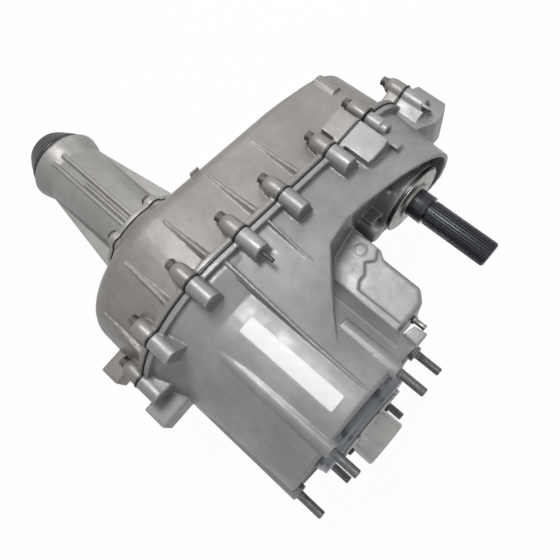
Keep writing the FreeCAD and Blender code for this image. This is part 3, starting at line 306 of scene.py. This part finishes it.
nipple_steel = coated_steel("nipple_steel", (0.30, 0.29, 0.27), (0.66, 0.64, 0.60), 0.28)
sealant = sealant_bead("sealant")
label_film = sticker_paper("label_film")

slot_finish = {
    "cast_rear": cast_rear, "cast_front": cast_front, "cast_tail": cast_tail, "sealant": sealant,
    "bolt": bolt_coat, "stud": zinc_stud, "steel": ground_steel, "gear_steel": gear_steel,
    "bearing_steel": bearing_steel, "black_oxide": black_oxide, "rubber": seal_rubber,
    "bronze": bronze, "plastic": black_plastic, "pump_alloy": pump_alloy, "nipple": nipple_steel,
}


def dress_solids():
    """Each CAD solid takes the finish of its material slot."""
    for part in frame["record"]["subparts"]:
        solid = solids[part["node"]]
        for index in range(len(solid.material_slots)):
            solid.material_slots[index].material = slot_finish[part["material_slot"]]


# Mesh helpers

def finished_mesh(name, mesh):
    data = bpy.data.meshes.new(name)
    mesh.to_mesh(data)
    mesh.free()
    return data


def new_piece(name, mesh, material):
    piece = bpy.data.objects.new(name, mesh)
    bpy.context.scene.collection.objects.link(piece)
    mesh.materials.clear()
    mesh.materials.append(material)
    return piece


def settled(piece):
    """The piece with its modifiers turned into plain mesh."""
    graph = bpy.context.evaluated_depsgraph_get()
    mesh = bpy.data.meshes.new_from_object(piece.evaluated_get(graph))
    material = piece.data.materials[0]
    name = piece.name
    bpy.data.objects.remove(piece)
    mesh.name = name
    return new_piece(name, mesh, material)


def mounted(piece, body, slot, *nodes):
    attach(piece, body)
    if nodes:
        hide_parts(*nodes)
    return piece


def smooth(piece):
    for polygon in piece.data.polygons:
        polygon.use_smooth = True
    return piece


def turned_mesh(name, profile, steps=96):
    """Closed mesh turned about X from a closed list of (x, radius) points."""
    mesh = bmesh.new()
    rings = []
    for step in range(steps):
        turn = 2 * math.pi * step / steps
        rings.append([mesh.verts.new((x, r * math.cos(turn), r * math.sin(turn))) for x, r in profile])
    count = len(profile)
    for step in range(steps):
        here, there = rings[step], rings[(step + 1) % steps]
        for index in range(count):
            after = (index + 1) % count
            mesh.faces.new((here[index], here[after], there[after], there[index]))
    bmesh.ops.recalc_face_normals(mesh, faces=mesh.faces[:])
    return finished_mesh(name, mesh)


# Castings

CAST_VOXEL = 0.0011
CAST_SOFTENING = 5
CAST_TRIANGLES = 185000

SHAFT_DISTANCE = 0.23891875
SPLIT_X = -0.203
BOSS_FRONT_X = -0.173
BOSS_RADIUS = 0.0105
WALL_MAIN, FLANGE_MAIN, FLANGE_FRONT = 0.123, 0.131, 0.078
SIDE_SINE = (FLANGE_MAIN - FLANGE_FRONT) / SHAFT_DISTANCE
SIDE_COSINE = math.sqrt(1 - SIDE_SINE ** 2)
SIDE_DIRECTION = 90 - math.degrees(math.asin(SIDE_SINE))
FRONT_DRAFT_X, FRONT_DRAFT_RADIUS, FRONT_DRAFT_SINE = -0.050, 0.100, 0.040 / SHAFT_DISTANCE
CHAIN_PART_Y = 0.025
REAR_CORNER_X, REAR_CORNER_ROUND, REAR_DRAFT = -0.285, 0.018, 0.002
RIB_ROOT, RIB_CREST_SHARE, RIB_OVERLAP = 0.010, 0.65, 0.001
WEB_DEPTH, WEB_HALF = 0.0145, 0.97 * BOSS_RADIUS


def around(radius, degrees):
    """(y, z) at an angle from +Y about the main shaft."""
    turn = math.radians(degrees)
    return radius * math.cos(turn), radius * math.sin(turn)


def side_rib(y, drop):
    """Root of a rib on the straight side of the case, under the line of the flange bosses."""
    return y, (FLANGE_MAIN - SIDE_SINE * y) / SIDE_COSINE - drop


def both_sides(place, direction, *stations):
    """The same rib on the upper and on the lower side."""
    return [(place, direction, stations), ((place[0], -place[1]), -direction, stations)]


def long_ridge(angle):
    """Ridge that leaves the flange, follows the draft and dies out on the round housing."""
    stations = ((SPLIT_X + RIB_OVERLAP, 0.0235, 0.0028), (-0.150, 0.0150, 0.0024),
                (-0.085, 0.0044, 0.0020), (-0.012, 0.0003, 0.0008))
    return around(0.104, angle), angle, stations


def rear_wedge(tip):
    return (SPLIT_X - RIB_OVERLAP, 0.0080, 0.0038), (tip, 0.0004, 0.0006)


# Upright ribs: (y, z) of the root, direction, then stations of x, height and half width
CASE_RIBS = {
    "front_case": [long_ridge(76), long_ridge(-76)]
    + both_sides(side_rib(0.090, 0.011), SIDE_DIRECTION,
                 (SPLIT_X + RIB_OVERLAP, 0.0095, 0.0026), (-0.134, -0.0052, 0.0006)),
    "rear_case": [(around(0.122, angle), angle, rear_wedge(tip)) for angle, tip in
                  ((80, -0.277), (108, -0.281), (140, -0.278),
                   (-80, -0.277), (-108, -0.281), (-140, -0.278))]
    + both_sides(side_rib(0.090, 0.010), SIDE_DIRECTION, *rear_wedge(-0.283))
    + both_sides(side_rib(0.154, 0.010), SIDE_DIRECTION, *rear_wedge(-0.281)),
}

# (y, z) of the upper flange bosses, apart from those round the front output
CASE_BOSSES = [side_rib(y, 0.0) for y in (0.196, 0.123, 0.061)]
CASE_BOSSES += [around(FLANGE_MAIN, angle) for angle in (93.5, 125, 157)]
PAD_FILL = ((-0.193, -0.161), (0.217, 0.239), (0.079, 0.087))


def closed_hexahedron(mesh, corners):
    """Adds eight corners and six faces to a mesh; the corners run like a binary count."""
    verts = [mesh.verts.new(corner) for corner in corners]
    faces = [mesh.faces.new([verts[index] for index in loop]) for loop in
             ((0, 1, 3, 2), (4, 6, 7, 5), (0, 4, 5, 1), (2, 3, 7, 6), (0, 2, 6, 4), (1, 5, 7, 3))]
    bmesh.ops.recalc_face_normals(mesh, faces=faces)


def add_rib(mesh, place, direction, stations):
    """Wedge that stands tall and wide at the flange and dies out to a sharp tip."""
    turn = math.radians(direction)
    for ends in zip(stations, stations[1:]):
        corners = []
        for x, top, half in ends:
            for level, reach in ((-RIB_ROOT, half), (top, half * RIB_CREST_SHARE)):
                for side in (-reach, reach):
                    corners.append((x, place[0] + level * math.cos(turn) - side * math.sin(turn),
                                    place[1] + level * math.sin(turn) + side * math.cos(turn)))
        closed_hexahedron(mesh, corners)


def add_web(mesh, place):
    """Plate under a front flange boss, as wide as the boss and level with its end."""
    radial = math.atan2(place[1], min(place[0], 0.0))
    corners = []
    for x in (SPLIT_X + RIB_OVERLAP, BOSS_FRONT_X):
        for level in (-WEB_DEPTH, 0.0):
            for side in (-WEB_HALF, WEB_HALF):
                corners.append((x, place[0] + level * math.cos(radial) - side * math.sin(radial),
                                place[1] + level * math.sin(radial) + side * math.cos(radial)))
    closed_hexahedron(mesh, corners)


def front_wall_z(x, y):
    """Height of the front case wall over the shafts: round housing or drafted chain part."""
    round_housing = math.sqrt(max(0.0, housing_radius(x) ** 2 - y ** 2))
    if y < CHAIN_PART_Y or x > FRONT_DRAFT_X:
        return round_housing
    share = (x - SPLIT_X) / (FRONT_DRAFT_X - SPLIT_X)
    drafted = 0.0
    for weight, radius, sine in ((1 - share, WALL_MAIN, SIDE_SINE),
                                 (share, FRONT_DRAFT_RADIUS, FRONT_DRAFT_SINE)):
        if y < radius * sine:
            drafted += weight * math.sqrt(radius ** 2 - y ** 2)
        else:
            drafted += weight * (radius - sine * y) / math.sqrt(1 - sine ** 2)
    return max(drafted, round_housing)


def rear_wall_radius(x):
    """Radius of the rear case wall about the main shaft: a slight draft, then a round corner."""
    radius = WALL_MAIN - REAR_DRAFT * (SPLIT_X - x) / (SPLIT_X - REAR_CORNER_X)
    if x >= REAR_CORNER_X:
        return radius
    sine = min(1.0, (REAR_CORNER_X - x) / REAR_CORNER_ROUND)
    return radius - REAR_CORNER_ROUND * (1 - math.sqrt(1 - sine ** 2))


def above_wall(node, x, y, z):
    """Distance of a point outside the case wall, and the (y, z) direction of that distance."""
    sign = 1.0 if z > 0 else -1.0
    if node == "front_case":
        if not FRONT_BAND_Y[0] < y < FRONT_BAND_Y[1]:
            return 0.0, 0.0, sign
        return abs(z) - front_wall_z(x, y), 0.0, sign
    if y < abs(z) * SIDE_SINE / SIDE_COSINE:
        radius = math.hypot(y, z)
        return radius - rear_wall_radius(x), y / radius, z / radius
    return SIDE_SINE * y + SIDE_COSINE * abs(z) - rear_wall_radius(x), SIDE_SINE, sign * SIDE_COSINE


# Flat bands beside the ribs: reach across and above the wall, gap kept to the rib, place
BAND_WIDTH, BAND_DEPTH, BAND_START = 0.0135, 0.0062, 0.0001
BAND_CLEARANCE = 0.0009
BAND_FAR_Y, BAND_NEAR_Z = 0.170, 0.060
FRONT_BAND_Y = (-0.020, 0.050)
SIDE_BAND_X, SIDE_BAND_Y, SIDE_BAND_TOP = (-0.1950, -0.1275), (0.0765, 0.0998), 0.125
SIDE_BAND_LIFT = 0.0002
BAND_REACH = {"front_case": (-0.1945, -0.006), "rear_case": (-0.3005, -0.2122)}


def level_bands(piece, node):
    """Beds the band beside each rib onto the case wall, so that the rib stands alone."""
    low, high = BAND_REACH[node]
    lines = []
    for place, direction, stations in CASE_RIBS[node]:
        turn = math.radians(direction)
        lines.append((stations[-1][0], place, -math.sin(turn), math.cos(turn), stations[0][2]))
    for vertex in piece.data.vertices:
        x, y, z = vertex.co
        if not (low < x < high and y < BAND_FAR_Y and abs(z) > BAND_NEAR_Z):
            continue
        gap, out_y, out_z = above_wall(node, x, y, z)
        if not BAND_START < gap < BAND_DEPTH:
            continue
        for x_thin, place, side_y, side_z, half in lines:
            if (z > 0) != (place[1] > 0):
                continue
            across = abs((y - place[0]) * side_y + (z - place[1]) * side_z)
            share = min(1.0, max(0.0, (x - x_thin) / (SPLIT_X - x_thin)))
            beside = share * half + BAND_CLEARANCE < across
            if across < BAND_WIDTH and (beside or share == 0.0):
                vertex.co.y = y - gap * out_y
                vertex.co.z = z - gap * out_z
                break


# Feet of the front bosses: length past the boss, reach inwards from its centre, half width
FOOT_LENGTH, FOOT_REACH, FOOT_HALF = 0.0075, (-0.0165, -0.0035), 0.0104


def level_feet(piece):
    """Brings the foot of each front boss level with the end of the boss."""
    near = [vertex for vertex in piece.data.vertices
            if BOSS_FRONT_X < vertex.co.x < BOSS_FRONT_X + FOOT_LENGTH]
    for place in CASE_BOSSES:
        for sign in (1.0, -1.0):
            centre_z = sign * place[1]
            radial = math.atan2(centre_z, min(place[0], 0.0))
            cosine, sine = math.cos(radial), math.sin(radial)
            for vertex in near:
                y, z = vertex.co.yz
                along = (y - place[0]) * cosine + (z - centre_z) * sine
                across = abs((z - centre_z) * cosine - (y - place[0]) * sine)
                if FOOT_REACH[0] < along < FOOT_REACH[1] and across < FOOT_HALF:
                    vertex.co.x = BOSS_FRONT_X


def clear_side_bands(piece):
    """Cuts the flat band off both straight sides of the front case, down to the wall."""
    mesh = bmesh.new()
    for sign in (1.0, -1.0):
        corners = []
        for x in SIDE_BAND_X:
            for y in SIDE_BAND_Y:
                for z in (front_wall_z(x, y) + SIDE_BAND_LIFT, SIDE_BAND_TOP):
                    corners.append((x, y, sign * z))
        closed_hexahedron(mesh, corners)
    cutter = new_piece("side_band", finished_mesh("side_band", mesh), piece.data.materials[0])
    cut = piece.modifiers.new("cut", "BOOLEAN")
    cut.operation, cut.solver, cut.object = "DIFFERENCE", "EXACT", cutter
    piece = settled(piece)
    bpy.data.objects.remove(cutter)
    return piece


def sand_casting(node, slot):
    """Copy of a casting with the soft edges and corners that a sand mould leaves."""
    mesh = bmesh.new()
    mesh.from_mesh(solids[node].data)
    bmesh.ops.remove_doubles(mesh, verts=mesh.verts[:], dist=0.00001)
    name = node + "_casting"
    piece = new_piece(name, finished_mesh(name, mesh), slot_finish[slot])
    if node == "front_case":
        piece = clear_side_bands(piece)
    mesh = bmesh.new()
    mesh.from_mesh(piece.data)
    for rib in CASE_RIBS.get(node, ()):
        add_rib(mesh, *rib)
    if node == "front_case":
        for y, z in CASE_BOSSES:
            add_web(mesh, (y, z))
            add_web(mesh, (y, -z))
        closed_hexahedron(mesh, [(x, y, z) for x in PAD_FILL[0] for y in PAD_FILL[1]
                                 for z in PAD_FILL[2]])
    mesh.to_mesh(piece.data)
    mesh.free()
    grid = piece.modifiers.new("grid", "REMESH")
    grid.mode = "VOXEL"
    grid.voxel_size = CAST_VOXEL
    piece = settled(piece)
    if node in CASE_RIBS:
        level_bands(piece, node)
    if node == "front_case":
        level_feet(piece)
    soften = piece.modifiers.new("soften", "SMOOTH")
    soften.factor = 0.5
    soften.iterations = CAST_SOFTENING
    piece = settled(piece)
    thin = piece.modifiers.new("thin", "DECIMATE")
    thin.ratio = min(1.0, CAST_TRIANGLES / (2 * len(piece.data.polygons)))
    piece = smooth(settled(piece))
    return mounted(piece, "housing", slot, node)


# Machined pieces and fasteners

EASED_EDGES = (
    ("case_bolts", "housing", "bolt", 0.0004), ("tail_bolts", "housing", "bolt", 0.0005),
    ("drain_fill_plugs", "housing", "bolt", 0.0006), ("bearing_retainer", "housing", "steel", 0.0005),
    ("retainer_screws", "housing", "bolt", 0.0004), ("vent_nipple", "housing", "nipple", 0.0003),
    ("speed_sensor", "housing", "plastic", 0.0010), ("front_slinger", "front_output", "nipple", 0.0004),
    ("front_output_shaft", "front_output", "black_oxide", 0.00025),
    ("input_gear", "input", "steel", 0.0004), ("shift_lever", "selector", "steel", 0.0006),
    ("lever_nut", "selector", "bolt", 0.0005), ("detent_plug", "housing", "bolt", 0.0005),
)


def eased(node, body, slot, width):
    """Copy of a hard-edged piece with its sharp edges broken, as a file or a tumbler leaves them."""
    mesh = bmesh.new()
    mesh.from_mesh(solids[node].data)
    bmesh.ops.remove_doubles(mesh, verts=mesh.verts[:], dist=0.000002)
    bmesh.ops.dissolve_limit(mesh, angle_limit=math.radians(0.6), verts=mesh.verts[:],
                             edges=mesh.edges[:], delimit={"NORMAL"})
    name = node + "_eased"
    piece = new_piece(name, finished_mesh(name, mesh), slot_finish[slot])
    chamfer = piece.modifiers.new("chamfer", "BEVEL")
    chamfer.width = width
    chamfer.segments = 2
    chamfer.limit_method = "ANGLE"
    chamfer.angle_limit = math.radians(35)
    chamfer.harden_normals = False
    chamfer.use_clamp_overlap = True
    piece = settled(piece)
    for polygon in piece.data.polygons:
        polygon.use_smooth = True
    piece.data.set_sharp_from_angle(angle=math.radians(32))
    return mounted(piece, body, slot, node)


# Studs

def stud_mesh():
    """One stud along X with a rolled thread on the part that stands out."""
    around, per_pitch = 28, 6
    depth = 0.00042
    mesh = bmesh.new()
    rings = []
    stations = [STUD_FOOT, 0.0, STUD_THREAD_START]
    step = STUD_PITCH / per_pitch
    count = int((STUD_TIP - STUD_THREAD_START) / step)
    stations += [STUD_THREAD_START + step * (index + 1) for index in range(count)] + [STUD_TIP]
    for x in stations:
        ring = []
        for index in range(around):
            turn = index / around
            radius = STUD_RADIUS - 0.00003
            if x > STUD_THREAD_START:
                phase = (x / STUD_PITCH - turn) % 1.0
                groove = max(0.0, 1.0 - abs(phase - 0.5) / 0.38)
                radius -= depth * groove
            radius = min(radius, STUD_RADIUS - STUD_CHAMFER + max(0.0, STUD_TIP - x))
            angle = 2 * math.pi * turn
            ring.append(mesh.verts.new((x, radius * math.cos(angle), radius * math.sin(angle))))
        rings.append(ring)
    for here, there in zip(rings, rings[1:]):
        for index in range(around):
            after = (index + 1) % around
            mesh.faces.new((here[index], here[after], there[after], there[index]))
    mesh.faces.new(rings[0])
    mesh.faces.new(rings[-1])
    bmesh.ops.recalc_face_normals(mesh, faces=mesh.faces[:])
    for face in mesh.faces:
        face.smooth = len(face.verts) == 4
    return finished_mesh("stud_pattern", mesh)


def circle_pattern_tree(name, material):
    """Geometry nodes that set copies of a piece round the X direction."""
    tree = bpy.data.node_groups.new(name, "GeometryNodeTree")
    sockets = {}
    for label, kind in (("Piece", "NodeSocketObject"), ("Count", "NodeSocketInt"),
                        ("Circle radius", "NodeSocketFloat"), ("First angle", "NodeSocketFloat")):
        sockets[label] = tree.interface.new_socket(label, in_out="INPUT", socket_type=kind).identifier
    tree.interface.new_socket("Geometry", in_out="OUTPUT", socket_type="NodeSocketGeometry")
    link = tree.links.new
    given = tree.nodes.new("NodeGroupInput").outputs

    def maths(operation, a, b=None):
        made = tree.nodes.new("ShaderNodeMath")
        made.operation = operation
        for socket, value in zip(made.inputs, (a, b)):
            if isinstance(value, float):
                socket.default_value = value
            elif value is not None:
                link(value, socket)
        return made.outputs[0]

    turn = maths("DIVIDE", 2 * math.pi, given["Count"])
    index = tree.nodes.new("GeometryNodeInputIndex").outputs[0]
    angle = maths("ADD", maths("MULTIPLY", index, turn), given["First angle"])
    spot = tree.nodes.new("ShaderNodeCombineXYZ")
    link(maths("MULTIPLY", maths("COSINE", angle), given["Circle radius"]), spot.inputs["Y"])
    link(maths("MULTIPLY", maths("SINE", angle), given["Circle radius"]), spot.inputs["Z"])
    points = tree.nodes.new("GeometryNodePoints")
    link(given["Count"], points.inputs["Count"])
    link(spot.outputs[0], points.inputs["Position"])
    source = tree.nodes.new("GeometryNodeObjectInfo")
    link(given["Piece"], source.inputs["Object"])
    copies = tree.nodes.new("GeometryNodeInstanceOnPoints")
    link(points.outputs[0], copies.inputs["Points"])
    link(source.outputs["Geometry"], copies.inputs["Instance"])
    real = tree.nodes.new("GeometryNodeRealizeInstances")
    link(copies.outputs[0], real.inputs[0])
    coat = tree.nodes.new("GeometryNodeSetMaterial")
    coat.inputs["Material"].default_value = material
    link(real.outputs[0], coat.inputs["Geometry"])
    link(coat.outputs[0], tree.nodes.new("NodeGroupOutput").inputs[0])
    return tree, sockets


def threaded_studs():
    pattern = new_piece("stud_pattern", stud_mesh(), zinc_stud)
    tree, sockets = circle_pattern_tree("stud_circle", zinc_stud)
    studs = new_piece("threaded_studs", bpy.data.meshes.new("threaded_studs"), zinc_stud)
    circle = studs.modifiers.new("circle", "NODES")
    circle.node_group = tree
    circle[sockets["Piece"]] = pattern
    circle[sockets["Count"]] = STUD_COUNT
    circle[sockets["Circle radius"]] = STUD_CIRCLE
    circle[sockets["First angle"]] = STUD_FIRST_ANGLE
    studs = settled(studs)
    bpy.data.objects.remove(pattern)
    return mounted(studs, "housing", "stud", "adapter_studs")


# Dust boot at the tail

def dust_boot():
    """Ribbed rubber boot and seal body behind the tail housing."""
    outer = [(TAIL_END - back, radius) for back, radius in BOOT_RIDGES]
    rear = TAIL_END - BOOT_END
    inner = [(rear, YOKE_LIP + 0.0008), (rear + 0.0012, YOKE_LIP), (rear + 0.003, YOKE_LIP + 0.0006),
             (rear + 0.0065, 0.0260), (TAIL_END - 0.012, 0.0365), (TAIL_END - 0.003, 0.0380),
             (TAIL_END - 0.002, 0.0340), (TAIL_END, YOKE_LIP), (TAIL_END + 0.009, YOKE_LIP + 0.0014),
             (TAIL_END + 0.0098, 0.0350), (TAIL_END + 0.0090, 0.0359), (TAIL_END + 0.0004, 0.0359)]
    piece = new_piece("dust_boot", turned_mesh("dust_boot", outer + inner, 64), seal_rubber)
    rounder = piece.modifiers.new("rounder", "SUBSURF")
    rounder.levels = rounder.render_levels = 2
    piece = smooth(settled(piece))
    return mounted(piece, "housing", "rubber", "tail_seal")


# Blank sticker

def housing_radius(x):
    for (x0, r0), (x1, r1) in zip(HOUSING_PROFILE, HOUSING_PROFILE[1:]):
        if x <= x1:
            return r0 + (r1 - r0) * (x - x0) / (x1 - x0)
    return HOUSING_PROFILE[-1][1]


def blank_sticker():
    """Plain white label laid along the top of the round housing."""
    columns, rows = 72, 14
    corner = 0.0012
    mesh = bmesh.new()
    grid = []
    for column in range(columns + 1):
        x = STICKER_X[0] + (STICKER_X[1] - STICKER_X[0]) * column / columns
        end = min(x - STICKER_X[0], STICKER_X[1] - x)
        inset = corner - math.sqrt(max(0.0, corner ** 2 - max(0.0, corner - end) ** 2))
        line = []
        for row in range(rows + 1):
            low, high = STICKER_Y[0] + inset, STICKER_Y[1] - inset
            arc = low + (high - low) * row / rows
            lift = STICKER_LIFT + 0.00012 * math.sin(41 * x / 0.119) * math.sin(9 * row / rows)
            radius = housing_radius(x) + lift
            angle = math.pi / 2 - arc / radius
            line.append(mesh.verts.new((x, radius * math.cos(angle), radius * math.sin(angle))))
        grid.append(line)
    for here, there in zip(grid, grid[1:]):
        for row in range(rows):
            mesh.faces.new((here[row], here[row + 1], there[row + 1], there[row]))
    bmesh.ops.recalc_face_normals(mesh, faces=mesh.faces[:])
    if sum(face.normal.z for face in mesh.faces) < 0:
        bmesh.ops.reverse_faces(mesh, faces=mesh.faces[:])
    piece = new_piece("blank_sticker", finished_mesh("blank_sticker", mesh), label_film)
    film = piece.modifiers.new("film", "SOLIDIFY")
    film.thickness = STICKER_THICKNESS
    film.offset = 1.0
    piece = smooth(settled(piece))
    return mounted(piece, "housing", "plastic")


# Stage

def white_stage():
    low = cad_box[0].z - 0.001
    mesh = bmesh.new()
    bmesh.ops.create_grid(mesh, x_segments=1, y_segments=1, size=6.0)
    bmesh.ops.translate(mesh, verts=mesh.verts[:], vec=(0.0, 0.0, low))
    floor = new_piece("floor", finished_mesh("floor", mesh), stage_finish("floor_white"))

    world = bpy.data.worlds.new("studio")
    bpy.context.scene.world = world
    world.use_nodes = True
    tree = world.node_tree
    soft = tree.nodes["Background"]
    soft.inputs["Color"].default_value = (0.96, 0.98, 1.0, 1.0)
    soft.inputs["Strength"].default_value = AMBIENT
    white = tree.nodes.new("ShaderNodeBackground")
    white.inputs["Color"].default_value = (1.0, 1.0, 1.0, 1.0)
    white.inputs["Strength"].default_value = 1.0
    rays = tree.nodes.new("ShaderNodeLightPath")
    seen = None
    for ray in ("Is Camera Ray", "Is Glossy Ray", "Is Transmission Ray"):
        if seen is None:
            seen = rays.outputs[ray]
            continue
        either = tree.nodes.new("ShaderNodeMath")
        either.operation = "MAXIMUM"
        tree.links.new(seen, either.inputs[0])
        tree.links.new(rays.outputs[ray], either.inputs[1])
        seen = either.outputs[0]
    share = tree.nodes.new("ShaderNodeMixShader")
    tree.links.new(seen, share.inputs[0])
    tree.links.new(soft.outputs[0], share.inputs[1])
    tree.links.new(white.outputs[0], share.inputs[2])
    tree.links.new(share.outputs[0], tree.nodes["World Output"].inputs["Surface"])


AMBIENT = 0.15
# Softboxes: name, place, aim, width, height, power in watts
SOFTBOXES = (
    ("key", (-0.52, 0.22, 1.25), (-0.2, 0.05, 0.0), 0.42, 0.42, 12.5),
    ("fill", (0.80, -0.55, 0.80), (-0.2, 0.05, 0.0), 0.9, 0.6, 1.3),
    ("rim", (-0.75, 0.95, 0.50), (-0.2, 0.05, 0.0), 0.6, 0.5, 1.6),
)


def softboxes():
    for name, place, aim, width, height, power in SOFTBOXES:
        lamp = bpy.data.lights.new(name, "AREA")
        lamp.shape = "RECTANGLE"
        lamp.size, lamp.size_y = width, height
        lamp.energy = power
        holder = bpy.data.objects.new(name, lamp)
        bpy.context.scene.collection.objects.link(holder)
        holder.location = place
        holder.rotation_mode = "QUATERNION"
        holder.rotation_quaternion = (Vector(aim) - Vector(place)).to_track_quat("-Z", "Y")


def photo_camera():
    data = bpy.data.cameras.new("photo_camera")
    data.lens = CAMERA_LENS
    data.clip_start, data.clip_end = 0.01, 50.0
    camera = bpy.data.objects.new("photo_camera", data)
    bpy.context.scene.collection.objects.link(camera)
    right, up = Vector(CAMERA_RIGHT), -Vector(CAMERA_DOWN)
    back = -Vector(CAMERA_FORWARD)
    turn = Matrix((right, up, back)).transposed().to_4x4()
    camera.matrix_world = Matrix.Translation(CAMERA_PLACE) @ turn
    bpy.context.scene.camera = camera


dress_solids()
for cast_node, cast_slot in (("front_case", "cast_front"), ("rear_case", "cast_rear"),
                             ("tail_housing", "cast_tail")):
    sand_casting(cast_node, cast_slot)
for eased_piece in EASED_EDGES:
    eased(*eased_piece)
threaded_studs()
dust_boot()
blank_sticker()
white_stage()
softboxes()
photo_camera()
bpy.context.scene.view_settings.view_transform = "Standard"
